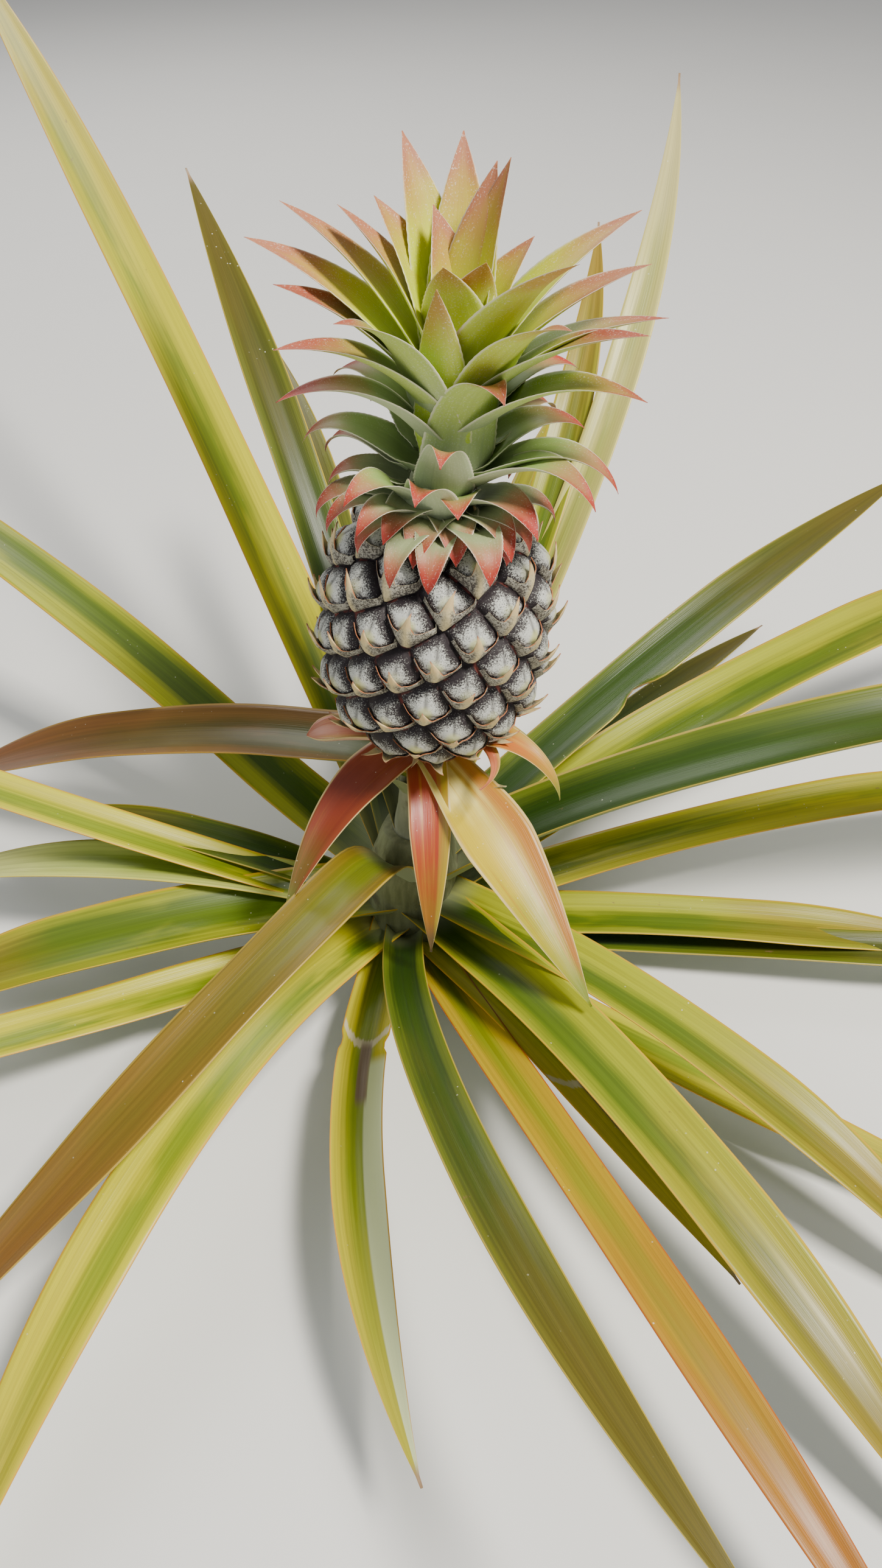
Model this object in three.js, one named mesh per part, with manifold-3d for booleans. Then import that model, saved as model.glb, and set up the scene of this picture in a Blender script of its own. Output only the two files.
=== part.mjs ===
// A fruiting pineapple plant, rooted in level ground.
// Millimetres, +Z up. The origin is the middle of the flat cut under the stem, and -Y is the front.

import * as THREE from 'three';
import Module from 'manifold-3d';
import { mergeVertices } from 'three/addons/utils/BufferGeometryUtils.js';

const wasm = await Module();
wasm.setup();

// Whole plant: everything on the upright axis leans a little to the right
const LEAN = 4.3;
const GAP = 0.3;

// Stem, short and stout, flaring to its flat cut at the ground
const STEM_HEIGHT = 90;
const STEM_RADIUS = 26;
const STEM_FOOT_RADIUS = 33;
const STEM_TOP_RADIUS = 19;
const STEM_SIDES = 28;
const STEM_BELOW = 20;
const FLARE_HEIGHT = 12;
const FLARE_RADIUS = 29;

// Peduncle, the stalk that carries the fruit, a little thicker at both ends
const PEDUNCLE_RADIUS = 11.5;
const PEDUNCLE_FOOT_RADIUS = 13.5;
const PEDUNCLE_TOP_RADIUS = 16;
const PEDUNCLE_FOOT = 16;
const PEDUNCLE_HEAD = 24;
const PEDUNCLE_SIDES = 20;

// Fruit: a squat barrel covered in a spiral of domed eyes
const FRUIT_BOTTOM = 163;
const FRUIT_HEIGHT = 123;
const FRUIT_RADIUS = 51;
const BARREL_POWER = 2.55;
const EYE_TURN = 137.3;
const EYE_PITCH = 1.2;
const FRONT_EYE_TURN = -90;
const FRONT_EYE_RISE = 15;
const EYE_COUNT_BELOW = 64;
const EYE_COUNT_ABOVE = 38;
const EYE_RADIUS = 12;
const EYE_DOME = 4;
const FRUIT_SEGMENTS = 46;
const FRUIT_RINGS = 24;

// Crown: a tuft of short leaves on a small cone that stands on the fruit
const CORE_RADIUS = 21;
const CORE_WAIST = 12;
const CORE_WAIST_RADIUS = 17;
const CORE_TOP_RADIUS = 5;
const CORE_HEIGHT = 58;
const CORE_TIP = 2;
const CORE_SIDES = 16;
const CROWN_FOOT_SHARE = 0.35;
const CROWN_LEAF_SHAPE = {
  thickness: 2.2,
  sweep: 0,
  steps: 3,
  sides: 3,
  footWidth: 0.85,
  taperFrom: 0.15,
  taperPower: 1.7,
};

// The crown's front leaves: turn about the axis, height of the foot, reach and height of the tip
const CROWN_FRONT = [
  [263, 289, 47, 271], [288, 291, 57, 284], [246, 289, 54, 275], [218, 289, 46, 277],
  [205, 291, 55, 283], [190, 292, 56, 281], [231, 294, 58, 295], [182, 296, 51, 293],
  [229, 300, 64, 310], [320, 290, 47, 284], [350, 290, 49, 286], [310, 289, 42, 278],
  [258, 303, 65, 319], [322, 300, 74, 314], [338, 303, 75, 313], [8, 303, 58, 323],
  [170, 303, 64, 306], [264, 312, 62, 337], [203, 312, 76, 343], [333, 315, 81, 357],
  [286, 320, 65, 363], [208, 322, 79, 367], [331, 325, 78, 383], [233, 328, 78, 388],
  [186, 326, 73, 380], [348, 326, 80, 382], [299, 330, 74, 393], [176, 330, 85, 392],
  [352, 331, 70, 399], [260, 334, 76, 408], [170, 336, 73, 404], [304, 340, 65, 412],
  [8, 336, 66, 412], [250, 343, 26, 397], [150, 340, 42, 406], [28, 338, 30, 398],
  [168, 340, 51, 405], [125, 342, 47, 425], [30, 342, 16, 427], [55, 342, 16, 424],
  [95, 342, 38, 427], [130, 343, 21, 406], [290, 342, 20, 398],
];

// Behind them the leaves keep one turn from each to the next, and follow a table of
// height of the foot, reach and height of the tip
const CROWN_TURN = 137.5;
const CROWN_BACK_FIRST = 25;
const CROWN_BACK_LAST = 165;
const CROWN_BACK_STEPS = 42;
const CROWN_BACK = [
  [289, 46, 272], [300, 58, 296], [312, 64, 318], [325, 62, 338], [335, 54, 356], [343, 44, 376],
];

// How far a crown leaf curls over along its length, and its width, by the height of its tip
const CROWN_CURL = [
  [284, 115], [320, 98], [340, 80], [360, 65], [380, 50], [400, 42], [415, 38], [430, 15],
];
const CROWN_WIDTH = [[278, 18], [296, 23], [320, 28], [390, 29], [415, 25], [436, 20]];

// How late it curls, by the height of its tip: for the leaves that face the front, within this
// turn of it, and for the others
const FRONT_TURN = 270;
const FACING_TURN = 45;
const CROWN_BEND = [[300, 2.6, 1.7], [345, 2.2, 1.2], [375, 1.6, 1], [400, 1.5, 1]];

// Blades: a channelled strap, thickest along the middle
const BLADE_SIDES = 6;
const BLADE_STEPS = 10;
const PATH_STEPS = 60;
const THICKNESS_PER_LENGTH = 0.0118;
const CUP = 0.16;
const FOOT_WIDTH = 0.72;
const FULL_WIDTH_AT = 0.22;
const TAPER_FROM = 0.6;
const TAPER_POWER = 1.8;
const TIP_WIDTH = 2.4;
const LEAST_THICKNESS = 3.2;
const THICKNESS_PER_WIDTH = 0.6;
const SHORT_BLADE = 250;
const SHORT_BLADE_STEPS = 6;
const EDGE_CLEARANCES = 3;

const OLIVE = 0x7d8a2e;
const DARK_OLIVE = 0x4c5f2c;
const BROWN_RED = 0x7a5230;
const PALE_OLIVE = 0xa3a556;

// Each long leaf: name, azimuth, height of its foot, rise angle at the foot, angle at the tip,
// bend (below 1 arches early), length, width, sweep of its heading, colour
const LONG_LEAVES = [
  ['leaf_back_left_tall', 118, 37, 46, 18, 0.35, 860, 32, 0, OLIVE],
  ['leaf_back_left_inner', 117, 77, 53, 26, 1.0, 420, 25, -4, DARK_OLIVE],
  ['leaf_left_upper', 149.5, 29, 36.5, -11, 1.1, 600, 37, -6, OLIVE],
  ['leaf_left_brown', 159.5, 131, 20, -32, 0.34, 365, 43, 0, BROWN_RED],
  ['leaf_left_thin', 181, 12, 24, 18, 1.05, 490, 25, -14, OLIVE],
  ['leaf_left_short', 172, 14, 30, 0, 1.0, 230, 28, 0, DARK_OLIVE],
  ['leaf_left_pale', 183, 16, 26, -28, 1.25, 305, 30, -11, PALE_OLIVE],
  ['leaf_left_middle', 196, 27, 25, -11, 0.42, 320, 44, 0, OLIVE],
  ['leaf_left_lower', 209, 10, 7, 8, 1.0, 440, 28, -6, OLIVE],
  ['leaf_front_left_arched', 241, 79, 76, -32, 0.24, 380, 32, -24, BROWN_RED],
  ['leaf_front_left_low', 237, 14, 27, -34, 1.2, 440, 32, 16, OLIVE],
  ['leaf_front_folded', 252, 18, 9, 1, 1.05, 325, 25, 40, PALE_OLIVE],
  ['leaf_front_right_inner', 266, 9, 33, -6, 1.65, 457, 22, 40, DARK_OLIVE],
  ['leaf_front_right_outer', 289, 8, 19, -27, 1.7, 490, 23, 15, BROWN_RED],
  ['leaf_front_right_scarred', 301, 8, 23, -15, 1.3, 285, 25, 3, OLIVE],
  ['leaf_right_broad', 304, 24, 31, -27, 0.75, 440, 35, 0, OLIVE],
  ['leaf_right_lower', 321, 8, 3, 2, 1.0, 380, 25, 10, OLIVE],
  ['leaf_right_upper', 319, 36, 20, -31, 1.1, 380, 31, -2, OLIVE],
  ['leaf_right_thin', 351, 8, 4, 2, 1.0, 430, 25, 5, OLIVE],
  ['leaf_right_middle', 354, 10, 11, -11, 1.0, 352, 32, 3, OLIVE],
  ['leaf_right_gold', 11, 10, 17, -18, 1.3, 450, 31, 5, PALE_OLIVE],
  ['leaf_right_dark', 359, 29, 69, -3, 0.35, 576, 41, 7, DARK_OLIVE],
  ['leaf_right_back', 24, 15, 36, -13, 0.8, 555, 43, 10, OLIVE],
  ['leaf_back_right_low', 48, 12, 25, -7, 0.3, 400, 25, 0, DARK_OLIVE],
  ['leaf_back_right_shaded', 33, 46, 34, 5, 0.77, 422, 32, 8, DARK_OLIVE],
  ['leaf_back_right_tall', 40, 63, 55, 33, 0.95, 475, 20, 44, OLIVE],
  ['leaf_back_right_inner', 46, 80, 54, 30, 1.0, 370, 22, 40, OLIVE],
  ['leaf_back_one', 72, 44, 36, 0, 1.0, 440, 32, 0, OLIVE],
  ['leaf_back_two', 90, 30, 34, 4, 1.0, 460, 32, 0, OLIVE],
  ['leaf_back_three', 106, 48, 38, 6, 1.0, 430, 32, 0, DARK_OLIVE],
];

const BRACT_RED = 0xb4452a;
const BRACT_GOLD = 0xc9a640;
const PALE_GREEN = 0x9aa56a;

// The bracts that hang under the fruit and the small leaves on its stalk, in the same columns
const BRACTS = [
  ['bract_front', 275, 148, 6, -79, 0.62, 118, 24, -5, BRACT_RED],
  ['bract_left', 219, 147, 40, -54, 0.4, 118, 29, 12, BRACT_RED],
  ['bract_right', 306, 146, 16, -37, 0.25, 158, 40, 0, BRACT_GOLD],
  ['bract_far_right', 338, 148, 32, -80, 1.7, 92, 24, -8, BRACT_GOLD],
  ['bract_far_left', 188, 151, 24, -2, 1.0, 64, 22, 2, BRACT_RED],
  ['bract_back_left', 120, 148, 4, -50, 1.0, 80, 26, 0, BRACT_RED],
  ['bract_back', 80, 149, 0, -60, 1.0, 84, 26, 0, BRACT_RED],
  ['bract_back_right', 34, 148, 4, -50, 1.0, 80, 26, 0, BRACT_GOLD],
  ['stalk_leaf_front', 236, 102, 66, 50, 1.0, 52, 18, 0, PALE_GREEN],
  ['stalk_leaf_right', 330, 98, 60, 20, 1.0, 70, 20, 0, PALE_GREEN],
  ['stalk_leaf_back', 100, 104, 60, 30, 1.0, 70, 20, 0, PALE_GREEN],
];

const RAD = Math.PI / 180;

function paint(color, roughness) {
  return new THREE.MeshStandardMaterial({ color, roughness, metalness: 0 });
}

function named(name, geometry, material) {
  const mesh = new THREE.Mesh(geometry, material);
  mesh.name = name;
  return mesh;
}

function toSolid(geometry) {
  const bare = geometry.clone();
  bare.deleteAttribute('normal');
  bare.deleteAttribute('uv');
  const merged = mergeVertices(bare, 1e-4);
  return new wasm.Manifold(new wasm.Mesh({
    numProp: 3,
    vertProperties: new Float32Array(merged.attributes.position.array),
    triVerts: new Uint32Array(merged.index.array),
  }));
}

function toGeometry(solid) {
  const mesh = solid.getMesh();
  const geometry = new THREE.BufferGeometry();
  geometry.setAttribute('position', new THREE.BufferAttribute(mesh.vertProperties, 3));
  geometry.setIndex(new THREE.BufferAttribute(mesh.triVerts, 1));
  return geometry;
}

// The largest piece of a solid, without the loose scraps that a cut may leave
function largest(solid) {
  const pieces = solid.decompose();
  pieces.sort((a, b) => b.volume() - a.volume());
  return pieces[0];
}

// A turned shape about Z from [radius, height] pairs that start and end on the axis
function turned(profile, sides) {
  const points = profile.map(([radius, height]) => new THREE.Vector2(radius, height));
  const geometry = new THREE.LatheGeometry(points, sides);
  geometry.rotateX(Math.PI / 2);
  return geometry;
}

// Stem and stalk

// The stem's turned profile, grown by a clearance; it starts below ground and is cut off level
function stemProfile(clearance) {
  return [
    [0, -STEM_BELOW],
    [STEM_FOOT_RADIUS + clearance, -STEM_BELOW],
    [STEM_FOOT_RADIUS + clearance, 0],
    [FLARE_RADIUS + clearance, FLARE_HEIGHT],
    [STEM_RADIUS + clearance, 30],
    [STEM_RADIUS + clearance, 62],
    [STEM_TOP_RADIUS + clearance, STEM_HEIGHT + clearance],
    [0, STEM_HEIGHT + clearance],
  ];
}

function stemSolid(clearance) {
  const geometry = turned(stemProfile(clearance), STEM_SIDES);
  geometry.rotateY(LEAN * RAD);
  return toSolid(geometry);
}

function cutAtGround(solid) {
  const depth = 100;
  const ground = new THREE.BoxGeometry(400, 400, depth);
  ground.translate(0, 0, -depth / 2);
  return solid.subtract(toSolid(ground));
}

function peduncleProfile(clearance) {
  const bottom = STEM_HEIGHT + GAP - clearance;
  const top = FRUIT_BOTTOM - GAP + clearance;
  return [
    [0, bottom],
    [PEDUNCLE_FOOT_RADIUS + clearance, bottom],
    [PEDUNCLE_RADIUS + clearance, bottom + PEDUNCLE_FOOT],
    [PEDUNCLE_RADIUS + clearance, top - PEDUNCLE_HEAD],
    [PEDUNCLE_TOP_RADIUS + clearance, top],
    [0, top],
  ];
}

// Fruit

// A point of the barrel's outline at polar angle a, as radius and height over its middle
function barrelPoint(a, grow) {
  const power = 2 / BARREL_POWER;
  const cos = Math.cos(a);
  const radius = (FRUIT_RADIUS + grow) * Math.sin(a) ** power;
  const height = (FRUIT_HEIGHT / 2) * Math.sign(cos) * Math.abs(cos) ** power;
  return [radius, height];
}

// Running skin area of the barrel from its bottom, as [area, polar angle, height] rows
function skinTable() {
  const steps = 400;
  const rows = [];
  let area = 0;
  let last = barrelPoint(Math.PI, 0);
  for (let i = 0; i <= steps; i++) {
    const a = Math.PI * (1 - i / steps);
    const point = barrelPoint(Math.max(a, 0), 0);
    const slant = Math.hypot(point[0] - last[0], point[1] - last[1]);
    area += Math.PI * (point[0] + last[0]) * slant;
    rows.push([area, Math.max(a, 0), point[1]]);
    last = point;
  }
  return rows;
}

// The eyes share the skin evenly and climb it in one close spiral
function eyeCentres() {
  const rows = skinTable();
  const front = rows.find((row) => row[2] >= FRONT_EYE_RISE)[0];
  const share = 2 * Math.PI * FRUIT_RADIUS * EYE_PITCH;
  const eyes = [];
  for (let i = -EYE_COUNT_BELOW; i <= EYE_COUNT_ABOVE; i++) {
    const row = rows.find((candidate) => candidate[0] >= front + i * share);
    const [radius, height] = barrelPoint(row[1], 0);
    const turn = (FRONT_EYE_TURN + EYE_TURN * i) * RAD;
    eyes.push(new THREE.Vector3(radius * Math.cos(turn), radius * Math.sin(turn), height));
  }
  return eyes;
}

function makeFruit() {
  const eyes = eyeCentres();
  const geometry = new THREE.SphereGeometry(1, FRUIT_SEGMENTS, FRUIT_RINGS);
  geometry.rotateX(Math.PI / 2);
  const position = geometry.attributes.position;
  for (let i = 0; i < position.count; i++) {
    const turn = Math.atan2(position.getY(i), position.getX(i));
    const a = Math.acos(THREE.MathUtils.clamp(position.getZ(i), -1, 1));
    const onAxis = Math.sin(a) < 1e-6;
    const [radius, height] = barrelPoint(a, 0);
    const point = new THREE.Vector3(radius * Math.cos(turn), radius * Math.sin(turn), height);
    const nearest = Math.min(...eyes.map((eye) => eye.distanceTo(point)));
    const dome = onAxis ? 0 : EYE_DOME * Math.max(0, 1 - (nearest / EYE_RADIUS) ** 2);
    const outward = new THREE.Vector3(point.x, point.y, 0).normalize();
    const flat = Math.min(1, (FRUIT_HEIGHT / 2 - Math.abs(height)) / EYE_DOME);
    point.addScaledVector(outward, dome * flat);
    if (onAxis) {
      point.set(0, 0, height);
    }
    position.setXYZ(i, point.x, point.y, point.z);
  }
  geometry.translate(0, 0, FRUIT_BOTTOM + FRUIT_HEIGHT / 2);
  return geometry;
}

// A smooth shell just outside the fruit's domes, which the crown's leaves are cut clear of
function fruitShell() {
  const steps = 16;
  const profile = [];
  for (let i = 0; i <= steps; i++) {
    const [radius, height] = barrelPoint(Math.PI * (1 - i / steps), EYE_DOME + GAP);
    const middle = FRUIT_BOTTOM + FRUIT_HEIGHT / 2;
    profile.push([i % steps === 0 ? 0 : radius, middle + height * (1 + GAP / FRUIT_HEIGHT)]);
  }
  return toSolid(turned(profile, STEM_SIDES));
}

// Blades

// A blade's middle line: its heading and its angle to the ground change along it by a rule
function bladePath(start, azimuth, rise, tip, bend, length, sweep) {
  const points = [start.clone()];
  for (let i = 0; i < PATH_STEPS; i++) {
    const s = (i + 0.5) / PATH_STEPS;
    const heading = (azimuth + sweep * s) * RAD;
    const climb = (rise + (tip - rise) * s ** bend) * RAD;
    const flat = Math.cos(climb) * length / PATH_STEPS;
    const step = new THREE.Vector3(flat * Math.cos(heading), flat * Math.sin(heading), 0);
    step.z = Math.sin(climb) * length / PATH_STEPS;
    points.push(points[i].clone().add(step));
  }
  return points;
}

// A blade's width along it: a narrower foot, full breadth, then a long taper to the tip
function bladeWidth(s, width, footWidth, taperFrom, taperPower) {
  const open = footWidth + (1 - footWidth) * Math.min(1, s / FULL_WIDTH_AT);
  const taper = 1 - Math.max(0, (s - taperFrom) / (1 - taperFrom)) ** taperPower;
  return Math.max(TIP_WIDTH, width * open * taper);
}

// A closed cylinder is bent along the path and its round section flattened to a shallow channel
function bladeSolid(path, shape, grow) {
  const { width, thickness, azimuth, sweep, steps, sides, footWidth, taperFrom, taperPower } = shape;
  const geometry = new THREE.CylinderGeometry(1, 1, 1, sides, steps);
  const position = geometry.attributes.position;
  for (let i = 0; i < position.count; i++) {
    const across = position.getZ(i);
    const up = position.getX(i);
    const s = position.getY(i) + 0.5;
    const index = Math.round(s * PATH_STEPS);
    const before = path[Math.max(0, index - 1)];
    const after = path[Math.min(PATH_STEPS, index + 1)];
    const tangent = after.clone().sub(before).normalize();
    const heading = (azimuth + sweep * s) * RAD;
    const side = new THREE.Vector3(-Math.sin(heading), Math.cos(heading), 0);
    const normal = tangent.clone().cross(side).normalize();
    const wide = bladeWidth(s, width, footWidth, taperFrom, taperPower);
    const thick = Math.min(thickness, wide * THICKNESS_PER_WIDTH) + 2 * grow;
    const point = path[index].clone();
    const reach = across * (wide / 2 + grow * EDGE_CLEARANCES);
    point.addScaledVector(side, reach);
    point.addScaledVector(normal, CUP * wide * (2 * reach / wide) ** 2 + up * thick / 2);
    position.setXYZ(i, point.x, point.y, point.z);
  }
  return toSolid(geometry);
}

function longBlade(row, grow) {
  const [, azimuth, foot, rise, tip, bend, length, width, sweep] = row;
  const start = new THREE.Vector3(foot * Math.tan(LEAN * RAD), 0, foot);
  const path = bladePath(start, azimuth, rise, tip, bend, length, sweep);
  const thickness = Math.max(LEAST_THICKNESS, length * THICKNESS_PER_LENGTH);
  const steps = length > SHORT_BLADE ? BLADE_STEPS : SHORT_BLADE_STEPS;
  const shape = { width, thickness, azimuth, sweep, steps, sides: BLADE_SIDES };
  Object.assign(shape, { footWidth: FOOT_WIDTH, taperFrom: TAPER_FROM, taperPower: TAPER_POWER });
  return bladeSolid(path, shape, grow);
}

// Every blade is cut clear of the stem, of its stalk and of the blades set before it
function makeBlades(rows, axisSolids) {
  const meshes = [];
  const placed = [];
  for (const row of rows) {
    let solid = longBlade(row, 0);
    for (const other of [...axisSolids, ...placed]) {
      solid = solid.subtract(other);
    }
    solid = largest(solid);
    placed.push(longBlade(row, GAP));
    meshes.push(named(row[0], toGeometry(solid), paint(row[9], 0.5)));
  }
  return meshes;
}

// Crown

// A value read from a table of [key, values...] rows, straight between the rows
function readTable(rows, key, column) {
  const after = rows.findIndex((row) => row[0] >= key);
  if (after <= 0) {
    return rows.at(after)[column];
  }
  const [low, high] = [rows[after - 1], rows[after]];
  return THREE.MathUtils.mapLinear(key, low[0], high[0], low[column], high[column]);
}

function coreProfile() {
  const bottom = FRUIT_BOTTOM + FRUIT_HEIGHT + GAP;
  return [
    [CORE_RADIUS, bottom],
    [CORE_WAIST_RADIUS, bottom + CORE_WAIST],
    [CORE_TOP_RADIUS, bottom + CORE_HEIGHT],
  ];
}

// A crown leaf curls from its foot inside the core to the reach and height of its tip
function crownLeaf([turn, foot, reach, top]) {
  const heights = coreProfile().map(([radius, height]) => [height, radius]);
  const inside = readTable(heights, foot, 1) * CROWN_FOOT_SHARE;
  const facing = Math.abs(turn - FRONT_TURN) < FACING_TURN;
  const bend = readTable(CROWN_BEND, top, facing ? 1 : 2);
  const curl = readTable(CROWN_CURL, top, 1);
  const unit = bladePath(new THREE.Vector3(), 0, 0, -curl, bend, 1, 0).at(-1);
  const length = Math.hypot(reach - inside, top - foot) / Math.hypot(unit.x, unit.z);
  const rise = (Math.atan2(top - foot, reach - inside) - Math.atan2(unit.z, unit.x)) / RAD;
  const heading = turn * RAD;
  const start = new THREE.Vector3(inside * Math.cos(heading), inside * Math.sin(heading), foot);
  const path = bladePath(start, turn, rise, rise - curl, bend, length, 0);
  const width = readTable(CROWN_WIDTH, top, 1);
  return bladeSolid(path, { ...CROWN_LEAF_SHAPE, width, azimuth: turn }, 0);
}

// The leaves of the crown's back, from the lowest up
function crownBack() {
  const rows = [];
  const low = CROWN_BACK[0][0];
  const high = CROWN_BACK.at(-1)[0];
  for (let i = 0; i <= CROWN_BACK_STEPS; i++) {
    const turn = (CROWN_TURN * i) % 360;
    const foot = THREE.MathUtils.lerp(low, high, i / CROWN_BACK_STEPS);
    if (turn > CROWN_BACK_FIRST && turn < CROWN_BACK_LAST) {
      rows.push([turn, foot, readTable(CROWN_BACK, foot, 1), readTable(CROWN_BACK, foot, 2)]);
    }
  }
  return rows;
}

function makeCrown(shell) {
  const profile = coreProfile();
  const [bottom, top] = [profile[0][1], profile.at(-1)[1]];
  const solids = [toSolid(turned([[0, bottom], ...profile, [0, top + CORE_TIP]], CORE_SIDES))];
  for (const row of [...CROWN_FRONT, ...crownBack()]) {
    solids.push(crownLeaf(row));
  }
  return toGeometry(largest(wasm.Manifold.union(solids).subtract(shell)));
}

// The plant

const plant = new THREE.Group();
const upright = new THREE.Group();
upright.rotation.y = LEAN * RAD;
plant.add(upright);

plant.add(named('stem', toGeometry(cutAtGround(stemSolid(0))), paint(0x7c6f4a, 0.85)));
upright.add(named('peduncle', turned(peduncleProfile(0), PEDUNCLE_SIDES), paint(0x9a9a6e, 0.7)));
upright.add(named('fruit', makeFruit(), paint(0x8d877c, 0.75)));
upright.add(named('crown', makeCrown(fruitShell()), paint(0x7f8f55, 0.55)));

const stalk = turned(peduncleProfile(GAP), PEDUNCLE_SIDES);
stalk.rotateY(LEAN * RAD);
const shell = fruitShell().rotate([0, LEAN, 0]);
const axis = [stemSolid(GAP), toSolid(stalk), shell];
for (const mesh of makeBlades([...LONG_LEAVES, ...BRACTS], axis)) {
  plant.add(mesh);
}

export default plant;
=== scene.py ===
"""A fruiting pineapple plant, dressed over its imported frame.

Lengths in the plant's own values are millimetres, as in its construction, and are turned to
metres where a mesh becomes a piece. +Z is up, the stem's foot is at the origin and -Y is the
front.
"""

import logging
import math
import random
from collections.abc import Iterable, Sequence
from dataclasses import dataclass, field
from enum import Enum

import bmesh
import bpy
from mathutils import Matrix, Vector, kdtree, noise


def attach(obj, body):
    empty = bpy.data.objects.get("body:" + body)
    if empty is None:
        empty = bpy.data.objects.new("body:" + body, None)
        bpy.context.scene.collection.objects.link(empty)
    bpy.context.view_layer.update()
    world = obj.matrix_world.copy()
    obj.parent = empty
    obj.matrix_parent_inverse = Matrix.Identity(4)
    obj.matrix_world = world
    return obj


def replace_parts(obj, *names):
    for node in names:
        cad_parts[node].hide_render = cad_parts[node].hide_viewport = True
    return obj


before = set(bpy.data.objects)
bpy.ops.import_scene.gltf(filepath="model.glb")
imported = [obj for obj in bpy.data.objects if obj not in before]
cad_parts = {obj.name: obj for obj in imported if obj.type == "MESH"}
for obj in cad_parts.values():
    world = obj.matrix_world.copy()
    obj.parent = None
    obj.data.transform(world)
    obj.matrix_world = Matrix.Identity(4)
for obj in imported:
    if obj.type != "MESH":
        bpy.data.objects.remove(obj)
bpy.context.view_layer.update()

LOG = logging.getLogger("plant")
MM = 0.001
LEAN = math.radians(4.3)
UPRIGHT = Matrix.Rotation(LEAN, 4, "Y")
ROOT = "root"
BLADE_MAP = "Blade"
SEEDS = 6.0  # a piece's own seed lies between 0 and this
Colour = tuple[float, float, float]


def lerp(a: float, b: float, t: float) -> float:
    """The value a share t of the way from a to b."""
    return a + (b - a) * t


def ease(t: float, low: float = 0.0, high: float = 1.0) -> float:
    """A smooth step from 0 at low to 1 at high."""
    x = min(1.0, max(0.0, (t - low) / (high - low)))
    return x * x * (3 - 2 * x)


def bump_at(x: float, middle: float, half_width: float) -> float:
    """A soft hump of height 1 at middle."""
    return math.exp(-(((x - middle) / half_width) ** 2))


def around(radius: float, turn: float, height: float) -> Vector:
    """The point at a radius and a turn in radians about the axis, and at a height."""
    return Vector((radius * math.cos(turn), radius * math.sin(turn), height))


# Shader expressions


class Value:
    """A shader socket that Python's operators work on."""

    def __init__(self, nodes: "Nodes", socket: bpy.types.NodeSocket) -> None:
        """Keeps the socket and the node tree that it belongs to."""
        self.nodes = nodes
        self.socket = socket

    def _maths(self, operation: str, *others: "Value | float", clamp: bool = False) -> "Value":
        """Adds one Math node to this value.

        Args:
            operation: the Math node's operation.
            others: its further inputs.
            clamp: whether its result is kept between 0 and 1.

        Returns:
            The node's result.
        """
        settings = {"operation": operation, "use_clamp": clamp}
        return self.nodes.make("ShaderNodeMath", settings, dict(enumerate((self, *others))))

    def __add__(self, other: "Value | float") -> "Value":
        """The sum."""
        return self._maths("ADD", other)

    __radd__ = __add__

    def __sub__(self, other: "Value | float") -> "Value":
        """The difference."""
        return self._maths("SUBTRACT", other)

    def __rsub__(self, other: float) -> "Value":
        """A number less this value."""
        return self.nodes.number(other)._maths("SUBTRACT", self)

    def __mul__(self, other: "Value | float") -> "Value":
        """The product."""
        return self._maths("MULTIPLY", other)

    __rmul__ = __mul__

    def __pow__(self, other: float) -> "Value":
        """This value to a power."""
        return self._maths("POWER", other)

    def __abs__(self) -> "Value":
        """The size of this value."""
        return self._maths("ABSOLUTE")

    def clamped(self) -> "Value":
        """This value kept between 0 and 1."""
        return self._maths("ADD", 0.0, clamp=True)

    def swing(self, size: float) -> "Value":
        """A value round a half turned to one round 0, of this size."""
        return (self - 0.5) * size

    def step(self, low: float, high: float) -> "Value":
        """A smooth step up from low to high, or down where low is above high.

        Args:
            low: where the result is 0.
            high: where it is 1.

        Returns:
            The share from 0 to 1.
        """
        inputs = {"Value": self, "From Min": min(low, high), "From Max": max(low, high)}
        if low > high:
            inputs |= {"To Min": 1.0, "To Max": 0.0}
        return self.nodes.make("ShaderNodeMapRange", {"interpolation_type": "SMOOTHSTEP"}, inputs)


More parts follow.
